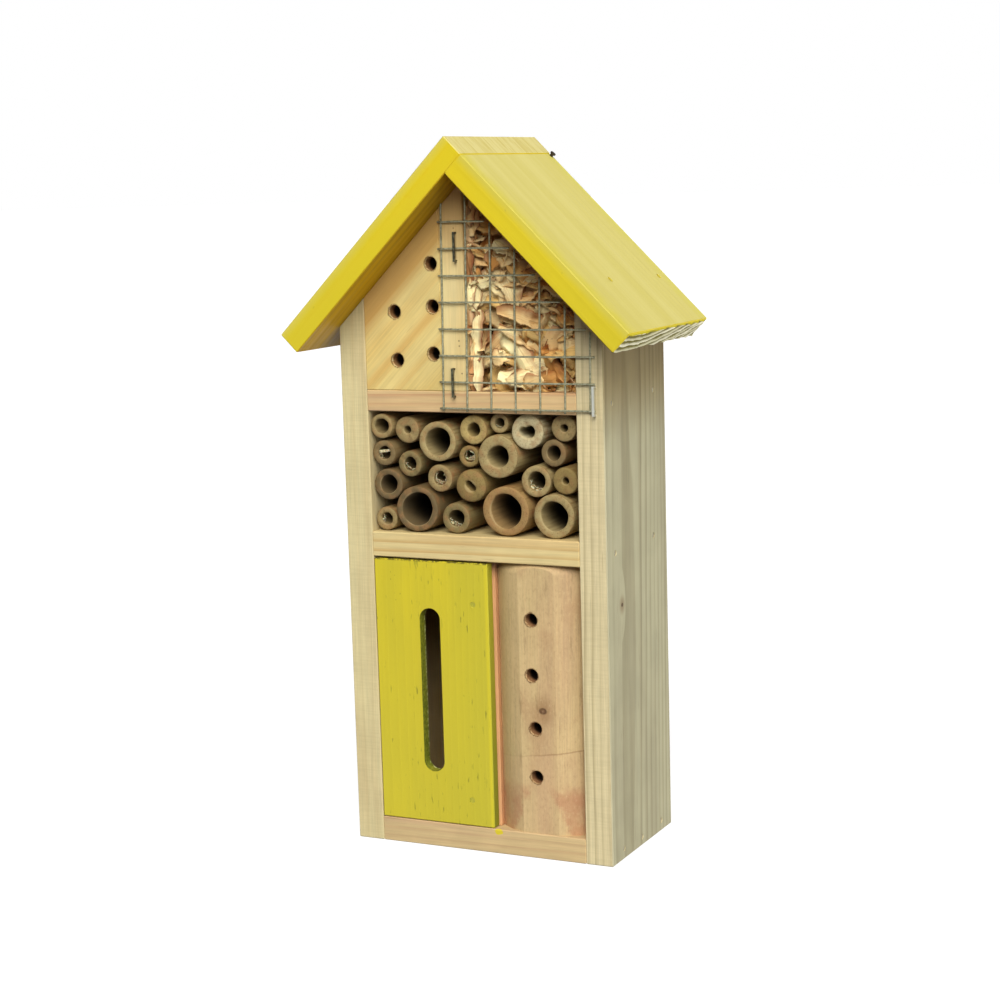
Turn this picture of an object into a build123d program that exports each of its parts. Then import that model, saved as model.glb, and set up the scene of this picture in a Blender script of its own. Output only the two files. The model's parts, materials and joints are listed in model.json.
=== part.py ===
from build123d import *
import os
from math import sqrt

# Insect hotel: a narrow wooden house that stands on its base or hangs on a wall.
# Frame: +Z up, the front faces -Y, x = 0 is midway between the two eaves,
# y = 0 is midway between the roof's front edge and the hanger's back, z = 0 is the base.
# All sizes are in millimetres.

# ---- driving dimensions: the house ----
PEAK_HEIGHT = 311.3       # base to the ridge
BODY_WIDTH = 124.8        # across the two side boards
BODY_DEPTH = 69.0         # side boards, front to back
SIDE_THICK = 12.7
SHELF_THICK = 11.0        # bottom board and lower shelf
UPPER_SHELF_THICK = 9.2
LOWER_SHELF_TOP = 141.3
UPPER_SHELF_TOP = 204.0
BACK_THICK = 4.0          # plywood back, set between the side boards
EASE = 0.4                # small chamfer on sawn edges

# ---- driving dimensions: the roof, both slopes at 45 degrees ----
ROOF_THICK = 10.9
ROOF_OVERHANG = 20.6      # in front of the body; the roof ends flush with the back
LEFT_SLOPE = 104.9        # underside of the left board, inner ridge line to eave
RIGHT_SLOPE = 103.4       # underside of the right board
RIDGE_OFFSET = 2.1        # the ridge stands this far right of the body's middle

# ---- driving dimensions: attic ----
POST_LEFT = -12.2         # from the body's middle
POST_THICK = 11.5
HOLE_RADIUS = 3.0         # every drilled nesting hole
HOLE_DEPTH = 45.0
SHAVINGS_RECESS = 7.0
SHAVINGS_GAP = 0.3        # clear of the wood round the fill
SHAVINGS_REAR_GAP = 5.0

# ---- driving dimensions: lower compartments ----
DIVIDER_RIGHT = 7.3       # right face of the divider, from the body's middle
DIVIDER_THICK = 12.7
DOOR_THICK = 5.2
DOOR_GAP = 0.8            # under the lower shelf
DOOR_RIGHT = 6.1
SLOT_WIDTH = 10.0
SLOT_HEIGHT = 74.0
SLOT_CENTRE = (-22.6, 71.4)
DOOR_SIDE_GAP = 0.3
LOG_RADIUS = 30.2         # round log, its two sides sawn flat
LOG_RECESS = 0.6
LOG_FRONT_FLAT = 1.2      # depth sawn off the round front
LOG_SIDE_GAP = 0.2
LOG_TOP_ROUND = 4.5

# ---- driving dimensions: wire mesh and fasteners ----
WIRE_RADIUS = 0.45
WELD_SINK = 0.1           # the welded wires bite into each other
MESH_LEFT = -12.0         # leftmost upright wire, from the body's middle
MESH_BOTTOM = 196.8       # lowest level wire
MESH_STEP_X = 11.4
MESH_STEP_Z = 11.3
MESH_COLUMNS = 7
MESH_ROWS = 8
MESH_STUB = 1.3           # wire ends stand past the outer wires
MESH_RIGHT_STUB = 2.6
MESH_TRIM = 12.0          # mesh is cut this far below the right roof board
MESH_ROOF_GAP = 0.6       # above the longest upright wire
STAPLE_SPAN = 12.5
STAPLE_WIDTH = 1.0
STAPLE_THICK = 0.7
STAPLE_DEPTH = 9.0
NAIL_RADIUS = 0.8
NAIL_HEAD = 1.3
NAIL_HEAD_THICK = 0.6
NAIL_SINK = 0.35          # heads are set below the wood
NAIL_LENGTH = 25.0
ROOF_NAIL_LENGTH = 16.0
LAP_NAIL_LENGTH = 20.0
BRAD_LENGTH = 15.0

# ---- driving dimensions: hanger ----
STRAP_WIDTH = 8.0
STRAP_THICK = 0.9
STRAP_DROP = 23.0         # pin axis down to the strap's end
PIN_HEIGHT = 262.0        # height of the ring's swing axis
PIN_OFFSET = 2.3          # swing axis behind the back panel
RING_WIRE = 1.0           # wire radius
RING_CLEARANCE = 0.08     # running clearance round the wire in the strap's eye
RING_WIDTH = 16.0
RING_HEIGHT = 13.0
RING_TOP_BEND = 1.6       # bend radii of the ring's four corners
RING_LOW_BEND = 5.4
HANGER_NAIL_HEAD = 1.9
HANGER_NAIL_LENGTH = 8.0

# ---- places worked out from them ----
DIAGONAL = 1 / sqrt(2)
ROOF_STEP = ROOF_THICK * DIAGONAL
LEFT_RUN = LEFT_SLOPE * DIAGONAL
RIGHT_RUN = RIGHT_SLOPE * DIAGONAL
RIDGE_X = (LEFT_RUN - RIGHT_RUN) / 2
RIDGE_UNDER = PEAK_HEIGHT - ROOF_THICK * sqrt(2)
BODY_X = RIDGE_X - RIDGE_OFFSET
BODY_LEFT = BODY_X - BODY_WIDTH / 2
BODY_RIGHT = BODY_X + BODY_WIDTH / 2
INNER_LEFT = BODY_LEFT + SIDE_THICK
INNER_RIGHT = BODY_RIGHT - SIDE_THICK
EYE_RADIUS = RING_WIRE + RING_CLEARANCE + STRAP_THICK
HANGER_DEPTH = PIN_OFFSET + EYE_RADIUS
ROOF_FRONT = -(ROOF_OVERHANG + BODY_DEPTH + HANGER_DEPTH) / 2
FRONT = ROOF_FRONT + ROOF_OVERHANG
REAR = FRONT + BODY_DEPTH
PANEL_FRONT = REAR - BACK_THICK
LOWER_SHELF_BASE = LOWER_SHELF_TOP - SHELF_THICK
UPPER_SHELF_BASE = UPPER_SHELF_TOP - UPPER_SHELF_THICK
POST_X = BODY_X + POST_LEFT
POST_RIGHT = POST_X + POST_THICK
DIVIDER_X = BODY_X + DIVIDER_RIGHT - DIVIDER_THICK
DIVIDER_MIDDLE = DIVIDER_X + DIVIDER_THICK / 2
PIN_Y = REAR + PIN_OFFSET

# Drilled nesting holes, (x from the body's middle, height).
ATTIC_HOLES = [(-16.4, 258.4), (-34.6, 238.0), (-16.1, 240.2), (-33.8, 217.2), (-16.2, 220.0)]
LOG_HOLES = [(26.1, 106.0), (25.8, 81.6), (27.0, 58.0), (27.0, 36.4)]

# Bamboo tubes as stacked: x from the body's middle, height, outer radius, bore radius,
# how far the mouth stands behind the front, and length.
TUBES = [
    (-44.1, 188.0, 5.5, 3.4, 1.5, 60),
    (-32.5, 186.4, 6.0, 1.7, 3.5, 58),
    (-17.6, 181.7, 9.0, 6.1, 3.0, 59),
    (-0.5, 187.1, 6.6, 3.0, 4.0, 57),
    (11.7, 190.2, 4.4, 2.3, 4.5, 56),
    (25.3, 186.9, 7.7, 3.2, 3.5, 59),
    (41.8, 188.7, 5.9, 1.7, 4.5, 58),
    (-43.8, 176.1, 5.7, 3.0, 2.5, 57),
    (-32.2, 171.3, 5.8, 3.0, 4.5, 58),
    (-3.4, 175.4, 4.9, 2.7, 5.0, 55),
    (11.5, 176.0, 9.6, 4.9, 2.5, 60),
    (36.6, 177.9, 5.9, 3.2, 5.0, 57),
    (-42.4, 162.2, 7.1, 4.2, 3.0, 59),
    (-17.5, 165.5, 6.1, 3.1, 4.0, 57),
    (-2.6, 162.6, 7.4, 2.4, 3.5, 58),
    (28.6, 165.7, 7.0, 4.2, 4.0, 59),
    (42.2, 166.3, 6.0, 1.5, 4.0, 58),
    (-44.2, 146.8, 5.3, 2.7, 3.5, 57),
    (-28.4, 151.8, 10.3, 7.4, 2.5, 60),
    (-10.2, 148.2, 6.8, 3.8, 4.0, 58),
    (14.6, 152.5, 11.1, 7.4, 2.5, 60),
    (37.0, 151.1, 9.7, 6.3, 3.0, 59),
]
TUBE_SEPTUM = 6.0         # solid joint that closes each tube's rear end


os.makedirs("parts", exist_ok=True)


def facing_front(y):
    """A plane square to the depth at y. Its x is x, its y is height, and it faces forward."""
    return Plane.XZ.offset(-y)


def under_roof(x):
    """Height of the roof's underside at x."""
    return RIDGE_UNDER - abs(x - RIDGE_X)


def rectangle(x0, x1, z0, z1):
    """Corner points of an upright rectangle."""
    return [(x0, z0), (x1, z0), (x1, z1), (x0, z1)]


def outward(origin, direction):
    """A plane on a surface, facing the way the surface faces."""
    return Plane(origin=origin, z_dir=direction)


def drive(planes, length, head=NAIL_HEAD, sink=NAIL_SINK):
    """Nails driven into the surfaces that the planes lie on, as separate solids."""
    with BuildPart() as group:
        for plane in planes:
            with BuildSketch(plane.offset(-sink)):
                Circle(head)
            extrude(amount=-NAIL_HEAD_THICK)
            with BuildSketch(plane.offset(-sink)):
                Circle(NAIL_RADIUS)
            extrude(amount=-length)
    return group.part


def nail_pockets(planes, length, head=NAIL_HEAD, sink=NAIL_SINK):
    """The room that driven nails take out of the wood, up to the surface."""
    with BuildPart() as group:
        for plane in planes:
            with BuildSketch(plane):
                Circle(head)
            extrude(amount=-(sink + NAIL_HEAD_THICK))
            with BuildSketch(plane):
                Circle(NAIL_RADIUS)
            extrude(amount=-(sink + length))
    return group.part


def cut_board(outline, front, rear, *pockets):
    """A board with an upright outline, from front to rear, with eased edges and nail holes."""
    with BuildPart() as board:
        with BuildSketch(facing_front(rear)):
            Polygon(*outline, align=None)
        extrude(amount=rear - front)
        chamfer(board.edges(), EASE)
        for pocket in pockets:
            add(pocket, mode=Mode.SUBTRACT)
    return board.part


def save(part, name):
    """Label a finished piece and write it as its own node."""
    part.label = name
    export_step(part, f"parts/{name}.step")


# ---- where the nails go: (depth behind the front, height) on each side board ----
SHELF_NAILS = [(8.5, 199.4), (55.0, 200.2), (9.0, 135.6), (53.0, 136.2)]
BASE_NAILS = [(12.5, 4.8), (33.5, 3.9), (56.5, 4.8)]
DOOR_NAILS = [(DOOR_THICK / 2, 28.0), (DOOR_THICK / 2, 112.0)]
BLOCK_NAILS = [(24.0, 216.0), (48.0, 222.0)]

right_nail_planes = [outward((BODY_RIGHT, FRONT + y, z), (1, 0, 0)) for y, z in SHELF_NAILS + BASE_NAILS]
left_nail_planes = [
    outward((BODY_LEFT, FRONT + y, z), (-1, 0, 0))
    for y, z in SHELF_NAILS + BASE_NAILS + DOOR_NAILS + BLOCK_NAILS
]

# Roof boards are nailed down into the side boards, (depth behind the front, how far inside a
# side board's outer face the nail enters it), and the left one into the right one's end.
ROOF_NAILS = [(8.7, 7.4), (60.1, 6.0)]
LAP_NAIL_Y = [ROOF_FRONT + 12.0, FRONT + 24.0, REAR - 10.0]


def nail_slope(outer_face, inset):
    """Distance down the roof's top, from the ridge, of a nail into a side board."""
    return (abs(outer_face - RIDGE_X) - inset) / DIAGONAL + ROOF_THICK


def on_slope(side, distance, y):
    """A plane on the roof's top, side -1 for left and +1 for right, down from the ridge."""
    drop = distance * DIAGONAL
    return outward((RIDGE_X + side * drop, y, PEAK_HEIGHT - drop), (side, 0, 1))


right_roof_nail_planes = [on_slope(1, nail_slope(BODY_RIGHT, inset), FRONT + y) for y, inset in ROOF_NAILS]
left_roof_nail_planes = [on_slope(-1, nail_slope(BODY_LEFT, inset), FRONT + y) for y, inset in ROOF_NAILS]
lap_nail_planes = [on_slope(-1, ROOF_THICK / 2, y) for y in LAP_NAIL_Y]

# One nail near the ridge pins the back panel's peak, and its head stands proud.
RIDGE_NAIL_PROUD = 1.8
RIDGE_NAIL_DROP = 1.6     # below the lap joint
ridge_nail_planes = [on_slope(1, ROOF_THICK + RIDGE_NAIL_DROP, REAR - BACK_THICK / 2)]

# Base nails hold the divider and the log from below.
LOG_NAIL_X = BODY_X + 28.6
BASE_NAIL_Y = [FRONT + 20.0, FRONT + 46.0]
base_nail_planes = [outward((x, y, 0), (0, 0, -1)) for x in (DIVIDER_MIDDLE, LOG_NAIL_X) for y in BASE_NAIL_Y]

# Brads through the door's free edge into the divider, (x from the body's middle, height).
BRADS = [(-1.3, 111.2), (-4.4, 23.0)]
brad_planes = [outward((BODY_X + x, FRONT, z), (0, -1, 0)) for x, z in BRADS]

# Back panel nails go into the rear edges of the shelves and the bottom board.
BACK_NAIL_REACH = 36.0    # either side of the body's middle
back_nail_heights = [
    SHELF_THICK / 2,
    LOWER_SHELF_TOP - SHELF_THICK / 2,
    UPPER_SHELF_TOP - UPPER_SHELF_THICK / 2,
]
back_nail_planes = [
    outward((BODY_X + side * BACK_NAIL_REACH, REAR, z), (0, 1, 0))
    for z in back_nail_heights
    for side in (-1, 1)
]
# Hanger nails go through the strap and the back panel.
STRAP_FACE = REAR + STRAP_THICK
HANGER_NAIL_DROPS = [6.0, 18.5]      # below the ring's swing axis
hanger_nail_planes = [
    outward((RIDGE_X, STRAP_FACE, PIN_HEIGHT - drop), (0, 1, 0)) for drop in HANGER_NAIL_DROPS
]

right_pockets = nail_pockets(right_nail_planes, NAIL_LENGTH)
left_pockets = nail_pockets(left_nail_planes, NAIL_LENGTH)
right_roof_pockets = nail_pockets(right_roof_nail_planes, ROOF_NAIL_LENGTH)
left_roof_pockets = nail_pockets(left_roof_nail_planes, ROOF_NAIL_LENGTH)
lap_pockets = nail_pockets(lap_nail_planes, LAP_NAIL_LENGTH)
ridge_pocket = nail_pockets(ridge_nail_planes, ROOF_NAIL_LENGTH - RIDGE_NAIL_PROUD, NAIL_RADIUS, 0)
base_pockets = nail_pockets(base_nail_planes, NAIL_LENGTH)
brad_pockets = nail_pockets(brad_planes, BRAD_LENGTH)
back_pockets = nail_pockets(back_nail_planes, BRAD_LENGTH)
hanger_pockets = nail_pockets(hanger_nail_planes, HANGER_NAIL_LENGTH - NAIL_HEAD_THICK, NAIL_RADIUS, 0)

# Staples: (x from the body's middle, middle height). Crowns stand over the level wires.
STAPLES = [(-4.0, 265.4), (-6.5, 207.8), (58.4, 201.0)]
VERTICAL_WIRE_Y = FRONT - WIRE_RADIUS
LEVEL_WIRE_Y = FRONT - 3 * WIRE_RADIUS + WELD_SINK
CROWN_REAR = LEVEL_WIRE_Y - WIRE_RADIUS


def make_staples():
    """Square-cornered wire staples, crown upright, legs driven into the wood behind."""
    with BuildPart() as staples:
        for x, z in STAPLES:
            top = z + STAPLE_SPAN / 2
            base = z - STAPLE_SPAN / 2
            left = BODY_X + x - STAPLE_WIDTH / 2
            right = left + STAPLE_WIDTH
            with BuildSketch(facing_front(CROWN_REAR)):
                Polygon(*rectangle(left, right, base, top), align=None)
            extrude(amount=STAPLE_THICK)
            for leg in (base, top - STAPLE_THICK):
                with BuildSketch(facing_front(FRONT + STAPLE_DEPTH)):
                    Polygon(*rectangle(left, right, leg, leg + STAPLE_THICK), align=None)
                extrude(amount=STAPLE_DEPTH + FRONT - CROWN_REAR)
    return staples.part


mesh_staples = make_staples()


def side_board(x0, x1, pockets, roof_pockets):
    """A side board, square at the base and cut at the top to meet the roof's slope."""
    outline = [(x0, 0), (x1, 0), (x1, under_roof(x1)), (x0, under_roof(x0))]
    return cut_board(outline, FRONT, REAR, pockets, roof_pockets)


left_side_board = side_board(BODY_LEFT, INNER_LEFT, left_pockets, left_roof_pockets)
save(left_side_board, "left_side_board")

right_side_board = side_board(INNER_RIGHT, BODY_RIGHT, right_pockets, right_roof_pockets) - mesh_staples
save(right_side_board, "right_side_board")

bottom_board = cut_board(
    rectangle(INNER_LEFT, INNER_RIGHT, 0, SHELF_THICK),
    FRONT, PANEL_FRONT, left_pockets, right_pockets, base_pockets, back_pockets,
)
save(bottom_board, "bottom_board")

lower_shelf = cut_board(
    rectangle(INNER_LEFT, INNER_RIGHT, LOWER_SHELF_BASE, LOWER_SHELF_TOP),
    FRONT, PANEL_FRONT, left_pockets, right_pockets, back_pockets,
)
save(lower_shelf, "lower_shelf")

upper_shelf = cut_board(
    rectangle(INNER_LEFT, INNER_RIGHT, UPPER_SHELF_BASE, UPPER_SHELF_TOP),
    FRONT, PANEL_FRONT, left_pockets, right_pockets, back_pockets, mesh_staples,
)
save(upper_shelf, "upper_shelf")

back_outline = [
    (INNER_LEFT, 0),
    (INNER_RIGHT, 0),
    (INNER_RIGHT, under_roof(INNER_RIGHT)),
    (RIDGE_X, RIDGE_UNDER),
    (INNER_LEFT, under_roof(INNER_LEFT)),
]
back_panel = cut_board(back_outline, PANEL_FRONT, REAR, back_pockets, hanger_pockets, ridge_pocket)
save(back_panel, "back_panel")

# ---- roof: the left board laps over the right board's upper end ----
lap = (RIDGE_X + ROOF_STEP, RIDGE_UNDER + ROOF_STEP)


def eave(side, run, out):
    """A corner of an eave: side -1 or +1, out 0 for the underside and 1 for the top."""
    return (RIDGE_X + side * (run + out * ROOF_STEP), RIDGE_UNDER - run + out * ROOF_STEP)


left_outline = [eave(-1, LEFT_RUN, 0), lap, (RIDGE_X, PEAK_HEIGHT), eave(-1, LEFT_RUN, 1)]
roof_board_left = cut_board(left_outline, ROOF_FRONT, REAR, left_roof_pockets, lap_pockets)
save(roof_board_left, "roof_board_left")

right_outline = [(RIDGE_X, RIDGE_UNDER), eave(1, RIGHT_RUN, 0), eave(1, RIGHT_RUN, 1), lap]
roof_board_right = cut_board(right_outline, ROOF_FRONT, REAR, right_roof_pockets, lap_pockets, ridge_pocket)
save(roof_board_right, "roof_board_right")

# ---- attic: drilled block, post and a fill of wood shavings ----
post_outline = [
    (POST_X, UPPER_SHELF_TOP),
    (POST_RIGHT, UPPER_SHELF_TOP),
    (POST_RIGHT, under_roof(POST_RIGHT)),
    (POST_X, under_roof(POST_X)),
]
attic_post = cut_board(post_outline, FRONT, PANEL_FRONT, mesh_staples)
save(attic_post, "attic_post")


def drill(block, holes):
    """The block with round nesting holes drilled in from the front."""
    with BuildPart() as drilled:
        add(block)
        with BuildSketch(facing_front(FRONT)):
            with Locations(*[(BODY_X + x, z) for x, z in holes]):
                Circle(HOLE_RADIUS)
        extrude(amount=-HOLE_DEPTH, mode=Mode.SUBTRACT)
    return drilled.part


block_outline = [
    (INNER_LEFT, UPPER_SHELF_TOP),
    (POST_X, UPPER_SHELF_TOP),
    (POST_X, under_roof(POST_X)),
    (INNER_LEFT, under_roof(INNER_LEFT)),
]
attic_block = drill(cut_board(block_outline, FRONT, PANEL_FRONT, left_pockets), ATTIC_HOLES)
save(attic_block, "attic_block")

SHAVINGS_REAR = PANEL_FRONT - SHAVINGS_REAR_GAP
shavings_right = INNER_RIGHT - SHAVINGS_GAP
with BuildPart() as wood_shavings:
    fill = [
        (POST_RIGHT + SHAVINGS_GAP, UPPER_SHELF_TOP),
        (shavings_right, UPPER_SHELF_TOP),
        (shavings_right, under_roof(shavings_right) - SHAVINGS_GAP),
        (RIDGE_X, RIDGE_UNDER - SHAVINGS_GAP),
        (POST_RIGHT + SHAVINGS_GAP, under_roof(POST_RIGHT) - SHAVINGS_GAP),
    ]
    with BuildSketch(facing_front(SHAVINGS_REAR)):
        Polygon(*fill, align=None)
    extrude(amount=SHAVINGS_REAR - FRONT - SHAVINGS_RECESS)
save(wood_shavings.part, "wood_shavings")

# ---- wire mesh over the attic's right half, held by staples ----
with BuildPart() as wire_mesh:
    right_end = BODY_X + MESH_LEFT + (MESH_COLUMNS - 1) * MESH_STEP_X + MESH_RIGHT_STUB
    for column in range(MESH_COLUMNS):
        x = BODY_X + MESH_LEFT + column * MESH_STEP_X
        foot = MESH_BOTTOM - MESH_STUB
        head = under_roof(x) - MESH_ROOF_GAP if column == 0 else RIDGE_UNDER + RIDGE_X - MESH_TRIM - x
        with BuildSketch(Plane.XY.offset(foot)):
            with Locations((x, VERTICAL_WIRE_Y)):
                Circle(WIRE_RADIUS)
        extrude(amount=head - foot)
    for row in range(MESH_ROWS):
        z = MESH_BOTTOM + row * MESH_STEP_Z
        start = BODY_X + MESH_LEFT - MESH_STUB
        end = min(right_end, RIDGE_UNDER + RIDGE_X - MESH_TRIM - z)
        with BuildSketch(Plane.YZ.offset(start)):
            with Locations((LEVEL_WIRE_Y, z)):
                Circle(WIRE_RADIUS)
        extrude(amount=end - start)
save(wire_mesh.part, "wire_mesh")
save(mesh_staples, "mesh_staples")

# ---- bamboo tubes, open at the front and closed by a joint at the rear ----
for number, (x, z, radius, bore, recess, length) in enumerate(TUBES, 1):
    with BuildPart() as tube:
        with BuildSketch(facing_front(FRONT + recess)):
            with Locations((BODY_X + x, z)):
                Circle(radius)
        extrude(amount=-length)
        with BuildSketch(facing_front(FRONT + recess)):
            with Locations((BODY_X + x, z)):
                Circle(bore)
        extrude(amount=-(length - TUBE_SEPTUM), mode=Mode.SUBTRACT)
    save(tube.part, f"bamboo_tube_{number:02d}")

# ---- lower left: butterfly chamber behind a slotted door ----
divider_board = cut_board(
    rectangle(DIVIDER_X, DIVIDER_X + DIVIDER_THICK, SHELF_THICK, LOWER_SHELF_BASE),
    FRONT + DOOR_THICK, PANEL_FRONT, brad_pockets, base_pockets,
)
save(divider_board, "divider_board")

door_outline = rectangle(
    INNER_LEFT + DOOR_SIDE_GAP, BODY_X + DOOR_RIGHT,
    SHELF_THICK + DOOR_SIDE_GAP, LOWER_SHELF_BASE - DOOR_GAP,
)
with BuildPart() as butterfly_door:
    add(cut_board(door_outline, FRONT, FRONT + DOOR_THICK))
    with BuildSketch(facing_front(FRONT)):
        with Locations((BODY_X + SLOT_CENTRE[0], SLOT_CENTRE[1])):
            SlotOverall(SLOT_HEIGHT, SLOT_WIDTH, rotation=90)
    extrude(amount=-DOOR_THICK, mode=Mode.SUBTRACT)
    add(left_pockets, mode=Mode.SUBTRACT)
    add(brad_pockets, mode=Mode.SUBTRACT)
save(butterfly_door.part, "butterfly_door")

# ---- lower right: a round log with flat sawn sides and front, drilled from the front ----
LOG_LEFT = DIVIDER_X + DIVIDER_THICK + LOG_SIDE_GAP
LOG_RIGHT = INNER_RIGHT - LOG_SIDE_GAP
LOG_X = (LOG_LEFT + LOG_RIGHT) / 2
LOG_FRONT = FRONT + LOG_RECESS
LOG_Y = LOG_FRONT - LOG_FRONT_FLAT + LOG_RADIUS
with BuildPart() as round_log:
    with BuildSketch(Plane(origin=(LOG_X, LOG_Y, 0), z_dir=(0, -1, 0), x_dir=(1, 0, 0))) as half:
        Polygon(*rectangle(0, LOG_RADIUS, SHELF_THICK, LOWER_SHELF_BASE), align=None)
        top_corner = half.vertices().group_by(Axis.Y)[-1].sort_by(Axis.X)[-1]
        fillet(top_corner, LOG_TOP_ROUND)
    revolve(axis=Axis((LOG_X, LOG_Y, 0), (0, 0, 1)))
    with BuildSketch(facing_front(PANEL_FRONT)):
        Polygon(*rectangle(LOG_LEFT, LOG_RIGHT, SHELF_THICK, LOWER_SHELF_BASE), align=None)
    extrude(amount=PANEL_FRONT - LOG_FRONT, mode=Mode.INTERSECT)
    add(base_pockets, mode=Mode.SUBTRACT)
log_block = drill(round_log.part, LOG_HOLES)
save(log_block, "log_block")

# ---- nails ----
save(drive(left_nail_planes, NAIL_LENGTH), "frame_nails_left")
save(drive(right_nail_planes, NAIL_LENGTH), "frame_nails_right")
save(drive(base_nail_planes, NAIL_LENGTH), "base_nails")
save(drive(right_roof_nail_planes + left_roof_nail_planes, ROOF_NAIL_LENGTH), "roof_nails")
save(drive(lap_nail_planes, LAP_NAIL_LENGTH), "ridge_lap_nails")
save(drive(ridge_nail_planes, ROOF_NAIL_LENGTH, sink=-RIDGE_NAIL_PROUD), "ridge_nail")
save(drive(brad_planes, BRAD_LENGTH), "door_brads")
save(drive(back_nail_planes, BRAD_LENGTH), "back_panel_nails")
save(
    drive(hanger_nail_planes, HANGER_NAIL_LENGTH, head=HANGER_NAIL_HEAD, sink=-NAIL_HEAD_THICK),
    "hanger_nails",
)

# ---- hanger: a steel strap folded round a ring that swings on its straight side ----
with BuildPart() as hanger_strap:
    with BuildSketch(Plane.YZ.offset(RIDGE_X - STRAP_WIDTH / 2)):
        with Locations((PIN_Y, PIN_HEIGHT)):
            Circle(EYE_RADIUS)
        Polygon(*rectangle(REAR, STRAP_FACE, PIN_HEIGHT - STRAP_DROP, PIN_HEIGHT), align=None)
        with Locations((PIN_Y, PIN_HEIGHT)):
            Circle(RING_WIRE + RING_CLEARANCE, mode=Mode.SUBTRACT)
    extrude(amount=STRAP_WIDTH)
    add(hanger_pockets, mode=Mode.SUBTRACT)
save(hanger_strap.part, "hanger_strap")

ring_plane = Plane(origin=(RIDGE_X, PIN_Y, PIN_HEIGHT), x_dir=(1, 0, 0), z_dir=(0, -1, 0))
half_ring = RING_WIDTH / 2 - RING_WIRE
ring_drop = RING_HEIGHT - 2 * RING_WIRE
with BuildPart() as hanger_ring:
    with BuildLine(ring_plane) as ring_path:
        FilletPolyline(
            (-half_ring, 0), (-half_ring, -ring_drop), (half_ring, -ring_drop), (half_ring, 0),
            radius=[RING_TOP_BEND, RING_LOW_BEND, RING_LOW_BEND, RING_TOP_BEND],
            close=True,
        )
    with BuildSketch(Plane(origin=ring_path.line @ 0, z_dir=ring_path.line % 0)):
        Circle(RING_WIRE)
    sweep(path=ring_path.line)
save(hanger_ring.part, "hanger_ring")
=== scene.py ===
"""Insect hotel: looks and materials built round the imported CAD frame."""

import json
import random
from functools import cached_property
from math import atan2, cos, exp, hypot, pi, radians, sin

import bmesh
import bpy
from mathutils import Matrix, Vector, noise


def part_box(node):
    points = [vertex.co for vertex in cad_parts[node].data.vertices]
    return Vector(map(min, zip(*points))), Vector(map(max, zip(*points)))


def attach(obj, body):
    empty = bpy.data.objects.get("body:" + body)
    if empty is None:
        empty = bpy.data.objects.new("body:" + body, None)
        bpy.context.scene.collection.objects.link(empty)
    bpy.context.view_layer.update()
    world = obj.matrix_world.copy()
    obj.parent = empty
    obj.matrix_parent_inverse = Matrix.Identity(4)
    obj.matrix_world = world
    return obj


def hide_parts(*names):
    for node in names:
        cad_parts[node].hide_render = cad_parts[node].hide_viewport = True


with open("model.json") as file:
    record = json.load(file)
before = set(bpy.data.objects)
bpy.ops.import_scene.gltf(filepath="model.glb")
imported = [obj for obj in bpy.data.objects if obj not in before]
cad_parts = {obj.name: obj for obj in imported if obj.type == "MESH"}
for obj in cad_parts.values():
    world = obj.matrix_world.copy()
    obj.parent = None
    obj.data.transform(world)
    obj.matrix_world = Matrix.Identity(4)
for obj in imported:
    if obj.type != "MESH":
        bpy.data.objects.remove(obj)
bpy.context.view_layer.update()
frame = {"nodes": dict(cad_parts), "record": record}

MM = 0.001
HOLE = 3 * MM           # radius of the drilled nesting holes
HOUSE = "house"
NODES = frame["nodes"]
OPENINGS = frame["record"]["physics"]["openings"]


def vec(x, y, z):
    return Vector((x, y, z))


# ---- camera, light and floor ----
def aim(azimuth, elevation):
    """A unit vector towards a camera or a lamp. Azimuth 0 is the front and 90 the right."""
    around, above = radians(azimuth), radians(elevation)
    flat = cos(above)
    return vec(sin(around) * flat, -cos(around) * flat, sin(above))


def make_camera():
    """A long lens, a little to the right of the front and a little above it."""
    back, roll = aim(26.41, 9.53), radians(-1.75)
    distance = 0.9509
    target = vec(-0.0116, 0, 0.1355)
    right = back.cross(vec(0, 0, -1)).normalized()
    up = back.cross(right)
    turned_right = right * cos(roll) + up * sin(roll)
    turned_up = up * cos(roll) - right * sin(roll)
    camera = bpy.data.objects.new("camera", bpy.data.cameras.new("camera"))
    bpy.context.scene.collection.objects.link(camera)
    turn = Matrix((turned_right, turned_up, back)).transposed()
    camera.matrix_world = Matrix.Translation(target + back * distance) @ turn.to_4x4()
    camera.data.sensor_width = 36
    camera.data.lens = 76.95
    camera.data.shift_x = 0.0204
    camera.data.shift_y = 0.0389
    bpy.context.scene.camera = camera


def sun(name, azimuth, elevation, strength, spread, colour):
    """A wide soft light from one direction."""
    data = bpy.data.lights.new(name, "SUN")
    data.energy = strength * pi
    data.angle = radians(spread)
    data.color = colour
    light = bpy.data.objects.new(name, data)
    light.rotation_mode = "QUATERNION"
    light.rotation_quaternion = (-aim(azimuth, elevation)).to_track_quat("-Z", "Y")
    bpy.context.scene.collection.objects.link(light)


def make_surround():
    """A white surround that gives only a little light of its own."""
    world = bpy.data.worlds.new("surround")
    world.use_nodes = True
    tree = world.node_tree
    path = tree.nodes.new("ShaderNodeLightPath")
    strength = tree.nodes.new("ShaderNodeMapRange")
    strength.inputs["To Min"].default_value = 0.10
    tree.links.new(path.outputs["Is Camera Ray"], strength.inputs["Value"])
    shade = tree.nodes["Background"]
    shade.inputs["Color"].default_value = (1, 1, 1, 1)
    tree.links.new(strength.outputs["Result"], shade.inputs["Strength"])
    bpy.context.scene.world = world


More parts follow.
